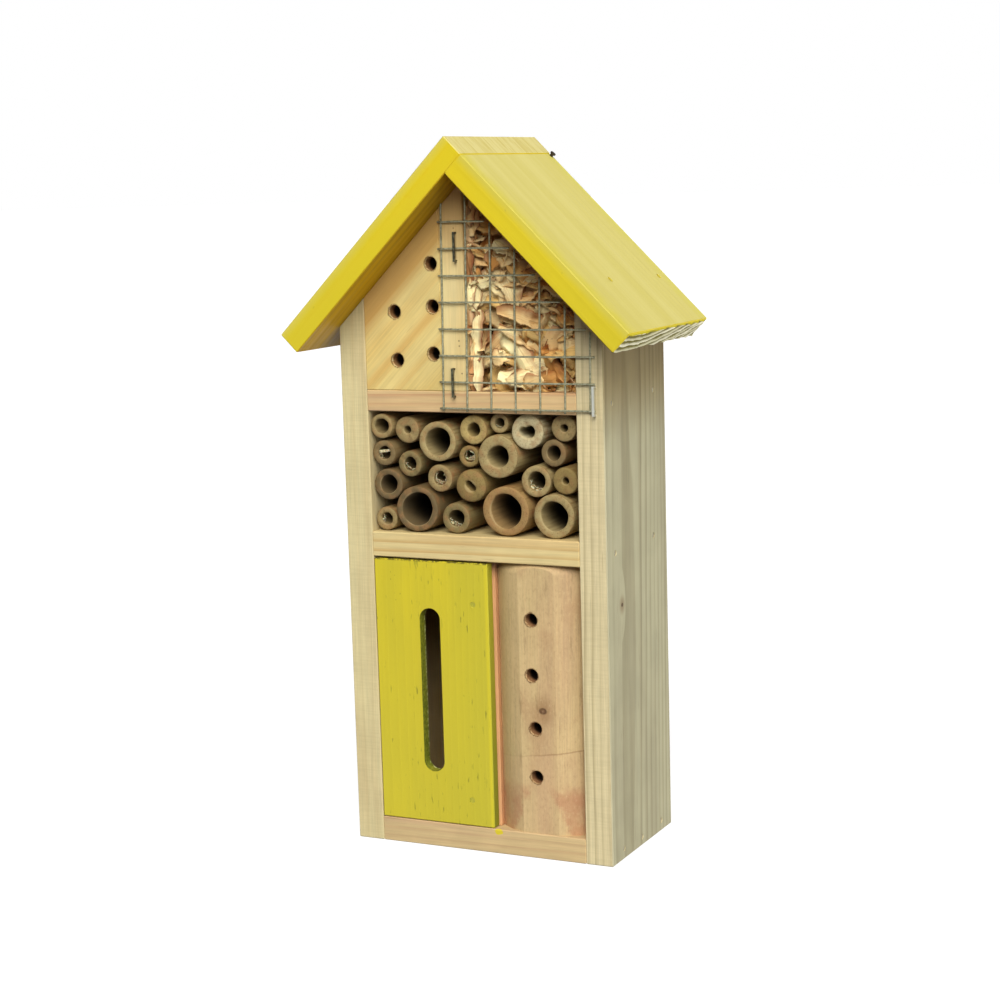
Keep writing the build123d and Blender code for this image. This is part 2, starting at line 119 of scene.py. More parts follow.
def make_stage():
    """A plain white floor, a soft key from the right, a low fill, the table's bounce, a rear light."""
    bpy.context.scene.view_settings.view_transform = "Standard"
    make_surround()
    sun("key", 22, 40, 1.22, 42, (1, 0.985, 0.95))
    sun("fill", 62, 15, 0.36, 60, (0.93, 1, 1.06))
    sun("table_bounce", 100, -25, 0.4, 50, (1, 0.98, 0.92))
    sun("rear", 222, 28, 0.5, 60, (1, 0.99, 0.97))
    bpy.ops.mesh.primitive_plane_add(size=60, location=(0, 0, 0))
    floor = bpy.context.object
    floor.name = "floor"
    floor.visible_diffuse = False
    floor.visible_shadow = False
    shade = Shade("floor_paint", 0.9, 0, Emission_Strength=0.72)
    shade.shader.inputs["Emission Color"].default_value = (1, 1, 1, 1)
    cloud = shade.noise(shade.place, 1.5)
    shade.colour(shade.mix(cloud, (0.34, 0.34, 0.34), (0.36, 0.36, 0.36)))
    floor.data.materials.append(shade.material)


# ---- material helpers ----
def srgb(code):
    """A linear colour from a hex code."""
    parts = [int(code[i:i + 2], 16) / 255 for i in (0, 2, 4)]
    return tuple(p / 12.92 if p <= 0.04045 else ((p + 0.055) / 1.055) ** 2.4 for p in parts)


class Shade:
    """One material, built node by node. Its skin is the colour so far. Colours may be hex codes."""

    def __init__(self, name, roughness, specular=0.5, **fixed):
        self.material = bpy.data.materials.new(name)
        self.material.use_nodes = True
        self.tree = self.material.node_tree
        self.shader = self.tree.nodes["Principled BSDF"]
        self.shader.inputs["Roughness"].default_value = roughness
        self.shader.inputs["Specular IOR Level"].default_value = specular
        for socket, value in fixed.items():
            self.shader.inputs[socket.replace("_", " ")].default_value = value

    def put(self, socket, value):
        if isinstance(value, str):
            value = srgb(value)
        if isinstance(value, bpy.types.NodeSocket):
            self.tree.links.new(value, socket)
        elif isinstance(value, tuple) and len(value) == 3 and len(socket.default_value) == 4:
            socket.default_value = (*value, 1)
        else:
            socket.default_value = value

    def node(self, kind, inputs, **settings):
        made = self.tree.nodes.new("ShaderNode" + kind)
        for key, value in settings.items():
            setattr(made, key, value)
        for key, value in inputs.items():
            self.put(made.inputs[key], value)
        return made

    @cached_property
    def place(self):
        """The point in the row frame, in metres."""
        return self.node("TexCoord", {}).outputs["Object"]

    @cached_property
    def xyz(self):
        return self.axes(self.place)

    @cached_property
    def normal(self):
        return self.axes(self.node("NewGeometry", {}).outputs["True Normal"])

    def attribute(self, name, output="Fac"):
        return self.node("Attribute", {}, attribute_name=name).outputs[output]

    def axes(self, vector):
        return self.node("SeparateXYZ", {0: vector}).outputs

    def math(self, operation, a, b=0, c=0):
        return self.node("Math", {0: a, 1: b, 2: c}, operation=operation).outputs[0]

    def times(self, a, b):
        return self.math("MULTIPLY", a, b)

    def scaled(self, value, factor, plus):
        """value * factor + plus"""
        return self.math("MULTIPLY_ADD", value, factor, plus)

    def clamp(self, value, low, high, out_low=0, out_high=1):
        """The value taken from one range to another, clamped."""
        inputs = {"Value": value, "From Min": low, "From Max": high, "To Min": out_low, "To Max": out_high}
        return self.node("MapRange", inputs, interpolation_type="SMOOTHSTEP").outputs[0]

    def vectors(self, operation, a, b):
        return self.node("VectorMath", {0: a, 1: b}, operation=operation).outputs[0]

    def distance(self, vector, centre, stretch):
        """How far a point is from the centre, with each axis scaled."""
        offset = self.vectors("MULTIPLY", self.vectors("SUBTRACT", vector, tuple(centre)), stretch)
        return self.node("VectorMath", {0: offset}, operation="LENGTH").outputs["Value"]

    def nearness(self, vector, centre, radius, squeeze=1):
        """1 at a point, falling to 0 at the radius. Squeeze below 1 draws it out along z."""
        return self.clamp(self.distance(vector, centre, (1, 1, squeeze)), 0, radius, 1, 0)

    def noise(self, vector, scale, detail=2, roughness=0.5):
        """Noise at one scale, or at a scale for each axis."""
        if isinstance(scale, tuple):
            vector, scale = self.vectors("MULTIPLY", vector, scale), 1
        inputs = {"Vector": vector, "Scale": scale, "Detail": detail, "Roughness": roughness}
        return self.node("TexNoise", inputs).outputs["Fac"]

    def mix(self, factor, a, b, blend="MIX"):
        made = self.node("Mix", {}, data_type="RGBA", blend_type=blend)
        self.put(made.inputs["Factor"], factor)
        self.put(made.inputs[6], a)
        self.put(made.inputs[7], b)
        return made.outputs[2]

    def colour(self, value):
        self.skin = value
        self.put(self.shader.inputs["Base Color"], value)

    def cover(self, amount, value, blend="MIX"):
        """Lay a colour over the skin."""
        self.colour(self.mix(amount, self.skin, value, blend))

    def fade(self, tone, *limits):
        """Cover the skin with a tone, by the share that clamp gives for a value and its limits."""
        self.cover(self.clamp(*limits), tone)

    def dim(self, value, amount=1):
        """Multiply the skin by a grey value."""
        grey = self.node("CombineXYZ", {0: value, 1: value, 2: value}).outputs[0]
        self.cover(amount, grey, "MULTIPLY")

    def roughness(self, value):
        self.put(self.shader.inputs["Roughness"], value)

    def bump(self, height, depth, strength=1):
        made = self.node("Bump", {"Height": height, "Distance": depth, "Strength": strength})
        self.put(self.shader.inputs["Normal"], made.outputs[0])


class Wood(Shade):
    """A wood with growth rings round its pith: late wood 0 to 1, fibre streaks 0 to 1."""

    def __init__(self, name, roughness, specular, grain, pith, ring, wave, knots=()):
        super().__init__(name, roughness, specular)
        turn = Vector(grain).normalized().rotation_difference(vec(0, 0, 1)).to_matrix()
        inputs = {
            "Vector": self.place,
            "Location": tuple(-(turn @ Vector(pith))),
            "Rotation": tuple(turn.to_euler()),
        }
        self.local = self.node("Mapping", inputs).outputs[0]   # z runs along the grain, from the pith
        self.knots = [(turn @ (Vector(centre) - Vector(pith)), size) for centre, size in knots]
        slow = self.noise(self.local, (22, 22, 5))
        fine = self.noise(self.local, (160, 160, 14))
        x, y, _ = self.axes(self.local)
        radius = self.math("SQRT", self.scaled(x, x, self.times(y, y)))
        radius = self.scaled(slow, wave * 2, radius)
        radius = self.scaled(fine, wave * 0.22, radius)
        for centre, size in self.knots:
            radius = self.scaled(self.nearness(self.local, centre, size * 4.5, 0.3), size * 1.6, radius)
        count = self.math("FRACT", self.math("DIVIDE", radius, ring))
        rise = self.clamp(count, 0.2, 0.9)
        fall = self.clamp(count, 0.92, 1, 1, 0)
        self.rings = self.times(self.math("POWER", rise, 2.2), fall)
        self.fibre = self.noise(self.local, (1500, 1500, 40), 3, 0.6)

    def mark_knots(self):
        """Dark heart and brown halo of each knot."""
        for centre, size in self.knots:
            halo = self.nearness(self.local, centre, size * 3.4, 0.7)
            core = self.nearness(self.local, centre, size * 1.35, 1.35)
            heart_wood = self.nearness(self.local, centre, size * 0.5, 0.9)
            self.cover(self.times(halo, 0.7), "8f6a44")
            self.fade("4a2e1c", core, 0.05, 0.45, 0, 0.85)
            self.cover(self.times(heart_wood, 0.8), "8a6748")


class Timber(Wood):
    """Bare sawn wood. Tint is a second tone that comes and goes in long patches."""

    def __init__(self, name, grain, pith, early, late, tint, contrast, ring=2.6 * MM, wave=2.2 * MM,
                 knots=(), patch_scale=20):
        super().__init__(name, 0.68, 0.25, grain, pith, ring, wave, knots)
        patch = self.noise(self.local, (patch_scale * 3, patch_scale * 3, patch_scale * 0.25), 3)
        coming = self.noise(self.local, (90, 90, 5))
        strength = self.times(self.clamp(coming, 0.3, 0.65, 0.25, 1), contrast)
        self.colour(self.mix(self.clamp(patch, 0.42, 0.66), early, tint))
        self.cover(self.times(self.rings, strength), late)
        self.dim(self.clamp(self.fibre, 0.25, 0.75, 0.90, 1.07))
        pores = self.noise(self.local, (900, 900, 60), 1)
        self.fade("7a5a34", pores, 0.70, 0.80, 0, 0.28)
        self.dim(self.clamp(self.noise(self.place, 60, 3), 0.3, 0.7, 0.95, 1.04))
        self.mark_knots()
        self.roughness(self.clamp(self.fibre, 0.2, 0.8, 0.58, 0.78))
        self.bump(self.scaled(self.rings, 0.4, self.fibre), 0.10 * MM, 0.5)

    def drill(self, centres, front):
        """Ragged brown wood round each drilled hole. Its wall is brown, and deeper in it is painted near
        black, a painted shade.
        """
        wobble = self.noise(self.place, 450, 3, 0.7)
        _, depth, _ = self.xyz
        brown = self.clamp(depth, front + 0.1 * MM, front + 0.8 * MM, 0, 0.6)
        # Painted shade: how far into the hole the wall turns near black.
        dark = self.clamp(depth, front + 3.4 * MM, front + 6.5 * MM, 0, 0.95)
        for centre in centres:
            reach = self.distance(self.place, centre, (1, 0, 1))
            ragged = self.scaled(wobble, -1.9 * MM, reach)
            self.fade("5c3c1c", ragged, HOLE - 0.85 * MM, HOLE - 0.35 * MM, 0.7, 0)
            inside = self.clamp(reach, HOLE + 0.1 * MM, HOLE + 0.3 * MM, 1, 0)
            self.cover(self.times(inside, brown), "9a6844")
            # Painted shade deep in the hole, near black.
            self.cover(self.times(inside, dark), "140b05")


class Paint(Wood):
    """Thin brushed paint over pine: grain and brush marks show through a little."""

    def __init__(self, name, grain, pith, base, pale, deep, speck):
        super().__init__(name, 0.55, 0.2, grain, pith, 3 * MM, 1.8 * MM)
        brush = self.noise(self.local, (420, 420, 9), 4, 0.6)
        broad = self.noise(self.local, (60, 60, 12), 3)
        mottle = self.noise(self.local, 260, 3, 0.6)
        dots = self.noise(self.local, (520, 520, 260), 1)
        self.colour(self.mix(self.clamp(broad, 0.38, 0.66), base, pale))
        self.fade(deep, brush, 0.55, 0.85, 0, 0.4)
        self.cover(self.times(self.rings, 0.10), deep)
        self.fade(deep, mottle, 0.55, 0.8, 0, 0.25)
        self.fade(speck, dots, 0.76, 0.82, 0, 0.48)
        self.roughness(self.clamp(brush, 0.3, 0.8, 0.42, 0.6))
        relief = self.scaled(self.rings, 0.5, brush)
        self.bump(self.scaled(mottle, 0.4, relief), 0.12 * MM, 0.5)


def openings(prefix):
    """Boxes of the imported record's openings whose names start so."""
    return [o["box_m"] for o in OPENINGS if o["name"].startswith(prefix)]


def hole_centres(prefix):
    return [(Vector(low) + Vector(high)) / 2 for low, high in openings(prefix)]


def dress(shade, *names):
    """Give CAD nodes a material of their own."""
    for name in names:
        mesh = NODES[name].data
        mesh.materials.clear()
        mesh.materials.append(shade.material)


def middle(name):
    low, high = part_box(name)
    return (low + high) / 2


# ---- house timber ----
def dress_sides():
    """Side boards: upright straight grain, with one knot low on the right one's outer face. That face is
    painted darker and cooler as painted shade, and darker and browner under the eave as a painted shadow of
    the roof.
    """
    low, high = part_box("right_side_board")
    knot = vec(high.x, low.y + 15.5 * MM, 112.1 * MM)
    right = Timber(
        "right_side_pine", (0, 0.015, 1), (high.x + 34 * MM, low.y + 20 * MM, 0),
        "cfc096", "8c7850", "c4b48c", 0.55, 3.1 * MM, 2.6 * MM, knots=((knot, 1.2 * MM),),
    )
    nx, _, _ = right.normal
    # The outer face is tinted apart from the front: darker and cooler, a painted shade for the side turned
    # from the light.
    outer = right.clamp(nx, 0.4, 0.8, 0, 0.75)
    right.cover(outer, "cfcbab", "MULTIPLY")
    _, _, z = right.xyz
    # Darker and browner towards the eave: a painted shadow of the roof.
    painted_eave_shadow = right.clamp(z, 176 * MM, 212 * MM)
    right.cover(outer, right.mix(painted_eave_shadow, (0.93, 1.08, 1.60), (0.53, 0.48, 0.46)), "MULTIPLY")
    saw_marks(right)
    dress(right, "right_side_board")
    low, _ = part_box("left_side_board")
    left = Timber(
        "left_side_pine", (0.01, 0, 1), (low.x - 26 * MM, low.y + 50 * MM, 0),
        "cdbf90", "bba474", "c6b284", 0.40, 2.8 * MM, 2.2 * MM,
    )
    saw_marks(left)
    dress(left, "left_side_board")


def saw_marks(board):
    """Faint level lines left by the saw on the front edge."""
    lines = board.noise(board.place, (90, 90, 1500), 2, 0.6)
    _, ny, _ = board.normal
    board.dim(board.clamp(lines, 0.35, 0.7, 1.02, 0.96), board.clamp(ny, -0.9, -0.7, 1, 0))


def dress_shelves():
    """Level boards: grain runs across, with pink and orange streaks."""
    looks = (
        ("bottom_board", (10, -24), "c5ab7c", "b08c66", "c09d7c", 0.5),
        ("lower_shelf", (-14, 22), "d0bc86", "bb9558", "cbaf79", 0.7),
        ("upper_shelf", (8, -16), "ccae7e", "b6845d", "c59b7e", 0.75),
    )
    for name, (dy, dz), early, late, tint, contrast in looks:
        pith = (0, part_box(name)[0].y + dy * MM, middle(name).z + dz * MM)
        made = Timber(name + "_pine", (1, 0.01, 0.01), pith, early, late, tint, contrast, 3.4 * MM)
        if name == "bottom_board":
            smear_paint(made)
        dress(made, name)


def smear_paint(board):
    """A dab of door paint on the bottom board, at the door's lower right corner."""
    low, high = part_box("butterfly_door")
    spot = vec(high.x + 2 * MM, low.y, low.z - 1.4 * MM)
    wobble = board.noise(board.place, 700)
    close = board.nearness(board.place, spot, 3.6 * MM, 1.6)
    board.fade("cdb92c", board.scaled(wobble, 0.5, close), 0.55, 0.72)


def dress_posts():
    """Attic post, with old nail holes and a top of painted shade warmed by a painted reflection of the
    yellow roof; and divider, with painted shadow over its left part and its top.
    """
    low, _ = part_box("attic_post")
    post = Timber(
        "attic_post_pine", (0.01, 0, 1), (middle("attic_post").x - 9 * MM, low.y - 26 * MM, 0),
        "dfcf98", "cbac70", "d9c288", 0.4, 3.4 * MM,
    )
    for dx, z in ((7.3, 273.2), (8.3, 225.6), (8.4, 223.4), (9.3, 211.7)):
        spot = vec(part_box("attic_block")[1].x + dx * MM, low.y, z * MM)
        post.cover(post.nearness(post.place, spot, 0.55 * MM), "4a3418")
    _, _, z = post.xyz
    # Painted shade at the post's top, warmed orange by a painted reflection of the yellow roof.
    post.fade("c08638", z, 245 * MM, 284 * MM, 0, 0.5)
    dress(post, "attic_post")
    centre = middle("divider_board")
    divider = Timber(
        "divider_pine", (0, 0, 1), (centre.x + 16 * MM, centre.y, 0), "cc986a", "aa704c", "c08c5e", 0.45,
    )
    x, _, z = divider.xyz
    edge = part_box("divider_board")[1]
    # Painted shadow of the door over the divider's left part.
    divider.fade("7c5234", x, edge.x - 3.2 * MM, edge.x - 1.6 * MM, 0.45, 0)
    # Painted shadow at the divider's top.
    divider.fade("4c2e1a", z, edge.z - 9 * MM, edge.z - 1 * MM, 0, 0.6)
    dress(divider, "divider_board")


def dress_block():
    """Attic block: sawn on the slant, with an orange band along the roof, partly the wood's own colour and
    partly painted shade from the roof.
    """
    low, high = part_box("attic_block")
    block = Timber(
        "attic_block_pine", (0.70, 0.02, 0.71), (low.x - 30 * MM, low.y - 30 * MM, high.z - 10 * MM),
        "d7c280", "c7974a", "d1b56c", 0.35, 9 * MM, 3.5 * MM,
    )
    x, _, z = block.xyz
    wobble = block.noise(block.local, (160, 160, 10))
    across = block.scaled(wobble, 12 * MM, block.math("SUBTRACT", z, x))
    edge = high.z - high.x
    # The band next to the roof is partly the wood's own orange and partly painted shade from the roof.
    block.fade("c08a3c", across, edge - 16 * MM, edge - 4 * MM, 0, 0.62)
    streak = block.math("ABSOLUTE", block.math("SUBTRACT", across, edge - 33 * MM))
    block.fade("c08a44", streak, 1 * MM, 4 * MM, 0.32, 0)
    block.drill(hole_centres("attic_hole"), low.y)
    dress(block, "attic_block")


def dress_back():
    """Plywood back: long rotary-cut figure."""
    panel = Timber(
        "plywood", (0, 0, 1), (20 * MM, middle("back_panel").y + 60 * MM, 0),
        "c9ad7a", "ad8450", "bf9a66", 0.6, 6 * MM, 8 * MM, patch_scale=12,
    )
    dress(panel, "back_panel")


def dress_log():
    """Round log: upright grain, a knot, reddish stains at its foot, one faint level crack and a painted
    shade along its left edge.
    """
    low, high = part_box("log_block")
    centre = middle("log_block")
    knot = vec(centre.x + 2.2 * MM, low.y + 0.2 * MM, 66.2 * MM)
    log = Timber(
        "log_pine", (0.02, 0, 1), (centre.x - 2 * MM, low.y + 34 * MM, 0),
        "c4aa7a", "ab8a60", "bd9d74", 0.14, 4.2 * MM, 3.2 * MM, knots=((knot, 2.1 * MM),),
    )
    place = log.place
    x, _, z = log.axes(place)
    wobble = log.noise(place, 150, 4, 0.65)
    blotch = log.noise(place, (70, 70, 34), 4, 0.6)
    log.fade("ad8a62", blotch, 0.5, 0.68, 0, 0.5)
    log.fade("c6b47e", blotch, 0.28, 0.42, 0.45, 0)
    # Grey-green along the left edge: painted shade on the side turned from the light.
    log.fade("9c9060", x, low.x, low.x + 10 * MM, 0.28, 0)
    side = log.math("ABSOLUTE", log.math("SUBTRACT", x, centre.x))
    spread = log.scaled(wobble, 10 * MM, log.scaled(z, 0.45, side))
    foot = log.clamp(z, 27 * MM, 35 * MM, 1, 0)
    flank = log.clamp(spread, 22.5 * MM, 25.5 * MM)
    sore = log.times(log.clamp(wobble, 0.3, 0.6, 0.5, 1), log.times(foot, flank))
    log.cover(log.times(sore, 0.5), "a0563a")
    streaks = log.noise(place, (560, 560, 60), 4, 0.65)
    log.fade("7e6440", streaks, 0.58, 0.72, 0, 0.42)
    level = log.scaled(x, -0.14, log.scaled(wobble, 1.2 * MM, z))
    crack = log.math("ABSOLUTE", log.math("SUBTRACT", level, 43.2 * MM))
    seen = log.clamp(x, low.x + 8 * MM, high.x - 12 * MM, 0.08, 0.45)
    log.cover(log.times(log.clamp(crack, 0.1 * MM, 0.6 * MM, 1, 0), seen), "80582f")
    log.fade("c8a27c", level, 42.6 * MM, 43.4 * MM, 0.16, 0)
    mottle = log.noise(place, (900, 900, 500), 3, 0.7)
    log.fade("86683e", mottle, 0.52, 0.7, 0, 0.22)
    log.fade("dcc493", mottle, 0.3, 0.46, 0.2, 0)
    log.drill(hole_centres("log_hole"), low.y)
    dress(log, "log_block")


# ---- painted boards ----
def weather_roof(shade, board):
    """A paler top, partly sun-bleached paint and partly a painted sheen, a greener strip along its front, a
    painted shade over the front arris, a bleached brow and an underside of thin paint darkened with painted
    shade.
    """
    low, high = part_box(board)
    nx, ny, nz = shade.normal
    x, y, z = shade.xyz
    facing = shade.clamp(ny, -0.9, -0.7, 1, 0)
    bands = shade.noise(shade.local, (70, 70, 3), 3, 0.45)
    wobble = shade.noise(shade.place, 90)
    inward = shade.scaled(wobble, 7 * MM, y)
    # The top is pale partly from weathered paint and partly as a painted sheen of the light overhead.
    pale = shade.mix(shade.clamp(bands, 0.34, 0.68), "c6ba6a", "cec37a")
    pale = shade.mix(shade.clamp(inward, low.y + 2 * MM, low.y + 16 * MM, 0.85, 0), pale, "c6b93c")
    pale = shade.mix(shade.clamp(inward, high.y - 7 * MM, high.y + 2 * MM, 0, 0.6), pale, "c8bf58")
    shade.fade(pale, nz, 0.3, 0.6, 0, 0.92)
    # The front arris is painted darker: a painted shade that dims its highlight.
    arris = shade.times(shade.clamp(ny, -0.5, -0.3, 1, 0), shade.clamp(nz, 0.3, 0.4))
    shade.cover(arris, "bdb047")
    shade.cover(shade.times(facing, shade.clamp(z, low.z, high.z, 0.65, 0)), "c6b628")
    side = 1 if board == "roof_board_right" else -1
    crest = max(v.co.z + side * v.co.x for v in NODES[board].data.vertices)
    brow = shade.scaled(wobble, 1.5 * MM, shade.scaled(x, side, z))
    bleached = shade.clamp(brow, crest - 5.5 * MM, crest + 0.8 * MM, 0, 0.7)
    shade.cover(shade.times(facing, bleached), "ccc056")
    # The underside is darker and browner, partly thinner paint and partly painted shade.
    stain = shade.noise(shade.local, (200, 200, 8), 4, 0.6)
    thin_paint_and_shade = shade.mix(shade.clamp(stain, 0.35, 0.65), "c89e00", "ae8600")
    outward = shade.clamp(shade.times(nx, side), -0.2, 0.1, 1, 0)
    shade.cover(shade.times(outward, shade.clamp(nz, -0.6, -0.3, 1, 0)), thin_paint_and_shade)


def dress_roof():
    """Two roof boards. The left one's sawn end is a bare strip at the ridge. Returns its paint."""
    low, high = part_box("roof_board_right")
    ridge = vec(low.x, 0, high.z)
    right = Paint(
        "roof_paint_right", (1, 0, -1), ridge + vec(-14 * MM, low.y + 38 * MM, -40 * MM),
        "d8c11c", "d2bc24", "c8a814", "8a7a22",
    )
    weather_roof(right, "roof_board_right")
    dress(right, "roof_board_right")
    low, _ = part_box("roof_board_left")
    left = Paint(
        "roof_paint_left", (-1, 0, -1), ridge + vec(14 * MM, low.y + 52 * MM, -36 * MM),
        "d8c11c", "d2bc22", "d2a81c", "8a7a22",
    )
    weather_roof(left, "roof_board_left")
    nx, _, nz = left.normal
    lines = left.noise(left.place, (60, 700, 60), 3)
    end_grain = left.mix(left.clamp(lines, 0.4, 0.65), "d1c480", "c4b365")
    left.cover(left.times(left.clamp(nx, 0.3, 0.6), left.clamp(nz, 0.3, 0.6)), end_grain)
    dress(left, "roof_board_left")
    return left


def dress_door():
    """Door: brush marks run up and down, greener to the right, with a painted highlight along its right
    arris, bruised along its edges.
    """
    low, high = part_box("butterfly_door")
    door = Paint(
        "door_paint", (0, 0, 1), (low.x - 20 * MM, low.y + 30 * MM, 0),
        "c9b82a", "c0b12c", "b8a724", "5e5c1c",
    )
    x, y, z = door.xyz
    nx, ny, _ = door.normal
    door.fade("b3ab33", x, low.x + 26 * MM, high.x, 0, 0.55)
    door.fade("b9ae34", z, low.z + 10 * MM, high.z - 10 * MM, 0.35, 0)
    door.cover(door.times(door.clamp(nx, 0.5, 0.8), door.clamp(z, low.z, high.z, 0.95, 0.45)), "7c801f")
    fine = door.clamp(door.noise(door.place, (900, 900, 170)), 0.62, 0.72, 0, 0.7)
    where = door.clamp(door.noise(door.place, 55), 0.42, 0.6)
    door.cover(door.times(fine, where), "7c7a24")
    # A paler yellow line along the front's right edge: a painted highlight on the arris.
    brow = door.clamp(x, high.x - 2.2 * MM, high.x - 0.8 * MM)
    door.cover(door.times(brow, door.clamp(ny, -0.9, -0.5, 0.7, 0)), "d2c22a")
    bruise = door.noise(door.place, 800, 3, 0.7)
    slot_low, slot_high = openings("door_slot")[0]
    right_of = door.clamp(x, slot_low[0] - 2 * MM, slot_low[0] - MM)
    left_of = door.clamp(x, slot_high[0] + MM, slot_high[0] + 2 * MM, 1, 0)
    sideways = door.clamp(door.math("ABSOLUTE", ny), 0.3, 0.6, 1, 0)
    wall = door.times(door.times(right_of, left_of), sideways)
    door.cover(door.times(wall, 0.75), door.mix(door.clamp(bruise, 0.4, 0.6), "4e5418", "7e842a"))
    rear = door.clamp(y, high.y - 1.1 * MM, high.y - 0.5 * MM)
    worn = door.times(rear, door.clamp(bruise, 0.48, 0.58))
    door.cover(door.times(worn, wall), "d4d08c")
    rim = door.clamp(z, high.z - 0.8 * MM, high.z - 0.2 * MM)
    door.cover(door.times(rim, door.clamp(bruise, 0.42, 0.55)), "5c5420")
    dress(door, "butterfly_door")


# ---- metal ----
def metal(name, dark, light, roughness, shine=0.85):
    """Dull zinc or steel, mottled."""
    shade = Shade(name, roughness, Metallic=shine)
    mottle = shade.noise(shade.place, 900, 3, 0.6)
    shade.colour(shade.mix(shade.clamp(mottle, 0.3, 0.7), dark, light))
    shade.roughness(shade.clamp(mottle, 0.25, 0.75, roughness - 0.1, roughness + 0.15))
    shade.bump(mottle, 0.05 * MM, 0.3)
    return shade


def dress_metal():
    """Nails, staples and hanger. The roof's and the door's nail heads are painted over."""
    nail = metal("nail_steel", "7c7664", "aaa48c", 0.5, 0.5)
    dress(nail, "frame_nails_left", "frame_nails_right", "base_nails", "back_panel_nails")
    dress(metal("rusty_steel", "241e14", "4a4030", 0.6, 0.6), "ridge_nail")
    dress(metal("painted_heads", "8f7e20", "b5a42c", 0.5, 0), "roof_nails", "ridge_lap_nails")
    dress(metal("painted_brads", "a09c2a", "b4ac30", 0.6, 0), "door_brads")
    zinc = metal("zinc_plate", "9a9a92", "c8c8c0", 0.32)
    dress(zinc, "hanger_strap", "hanger_ring", "hanger_nails")
    staples = Shade("staple_wire", 0.4, Metallic=0.7)
    x, _, _ = staples.xyz
    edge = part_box("mesh_staples")[1].x
    rust = staples.clamp(staples.noise(staples.place, 700, 3), 0.35, 0.65)
    staples.colour(staples.mix(rust, "38372a", "66654f"))
    # The right-most staple is painted silvery: a painted highlight.
    staples.fade("c4c6bc", x, edge - 4 * MM, edge - 2 * MM)
    dress(staples, "mesh_staples")


# ---- mesh pieces ----
def piece(name, builder, shades, body=HOUSE):
    """A new object from a bmesh, riding on a CAD body."""
    mesh = bpy.data.meshes.new(name)
    bmesh.ops.recalc_face_normals(builder, faces=builder.faces[:])
    builder.to_mesh(mesh)
    builder.free()
    for shade in shades:
        mesh.materials.append(shade.material)
    mesh.shade_smooth()
    made = bpy.data.objects.new(name, mesh)
    bpy.context.scene.collection.objects.link(made)
    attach(made, body)
    return made


def thicken(made, thickness):
    """Give a sheet its thickness, half to each side."""
    modifier = made.modifiers.new("thickness", "SOLIDIFY")
    modifier.thickness = thickness
    modifier.offset = 0


def ruffle(x, y, z):
    """Smooth noise, about -1 to 1."""
    return noise.noise(vec(x, y, z))


def spoke(angle):
    """A unit vector in the plane of the front."""
    return vec(cos(angle), 0, sin(angle))


def loft(builder, rings, closed=True, material=0):
    """Quads between rings of points. Returns the rings' vertices."""
    made = [[builder.verts.new(p) for p in ring] for ring in rings]
    for a, b in zip(made, made[1:]):
        count = len(a)
        for i in range(count if closed else count - 1):
            j = (i + 1) % count
            face = builder.faces.new((a[i], a[j], b[j], b[i]))
            face.material_index = material
    return made


def solid_loft(builder, rings):
    """A loft with both ends closed."""
    made = loft(builder, rings)
    builder.faces.new(made[0][::-1])
    builder.faces.new(made[-1])


def sheet(builder, columns, levels, point):
    """An open sheet of quads through point(column, level)."""
    rows = [[point(i, j) for i in range(columns + 1)] for j in range(levels + 1)]
    loft(builder, rows, closed=False)


def wire(builder, points, radius, sides=8):
    """A round wire through the points, with closed ends."""
    rings = []
    for i, point in enumerate(points):
        ahead = points[min(i + 1, len(points) - 1)] - points[max(i - 1, 0)]
        side = ahead.cross(vec(0.3, 0.9, 0.2)).normalized()
        other = ahead.cross(side).normalized()
        turns = [2 * pi * k / sides for k in range(sides)]
        rings.append([point + (side * cos(t) + other * sin(t)) * radius for t in turns])
    solid_loft(builder, rings)


def wavy(chance, start, end, sway):
    """Points of a hand-stretched wire: a slight bow and a little shake."""
    count = max(3, int((end - start).length / (2.9 * MM)))
    points = []
    for i in range(count + 1):
        t = i / count
        shake = vec(chance.uniform(-1, 1), 0, chance.uniform(-1, 1)) * 0.06 * MM
        points.append(start.lerp(end, t) + sway * sin(pi * t) + shake)
    return points


def make_mesh():
    """Welded wire mesh: drawn wires in two layers, with a bead of zinc at each weld."""
    columns, rows, step_z = 7, 8, 11.3 * MM
    radius, stub, right_stub, trim = 0.42 * MM, 1.3 * MM, 2.6 * MM, 12 * MM
    low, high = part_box("wire_mesh")
    left, foot = low.x + stub, low.z + stub
    step_x = (high.x - right_stub - left) / (columns - 1)
    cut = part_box("roof_board_right")[0].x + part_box("back_panel")[1].z - trim
    back_y, front_y = high.y - radius, high.y - 3 * radius + 0.1 * MM
    lean = 0.018
    chance = random.Random(5)
    builder = bmesh.new()
    for column in range(columns):
        x = left + column * step_x
        top = high.z if column == 0 else cut - x
        foot_point = vec(x, back_y, low.z)
        head_point = vec(x + lean * (top - low.z), back_y, top)
        sway = vec(chance.uniform(-0.2, 0.2) * MM, 0, 0)
        wire(builder, wavy(chance, foot_point, head_point, sway), radius)
    for row in range(rows):
        z = foot + row * step_z
        end = min(high.x, cut - z)
        sway = vec(0, -0.05 * MM, chance.uniform(-0.25, 0.25) * MM)
        start_point = vec(low.x + lean * (z - foot), front_y, z)
        wire(builder, wavy(chance, start_point, vec(end, front_y, z), sway), radius)
        for column in range(columns):
            x = left + column * step_x + lean * (z - low.z)
            if x < end:
                spot = Matrix.Translation((x, (front_y + back_y) / 2, z)) @ Matrix.Diagonal((1, 0.8, 1, 1))
                bmesh.ops.create_icosphere(builder, subdivisions=2, radius=0.72 * MM, matrix=spot)
    made = piece("welded_mesh", builder, [metal("galvanised_wire", "74745a", "a3a288", 0.5, 0.45)])
    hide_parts("wire_mesh")


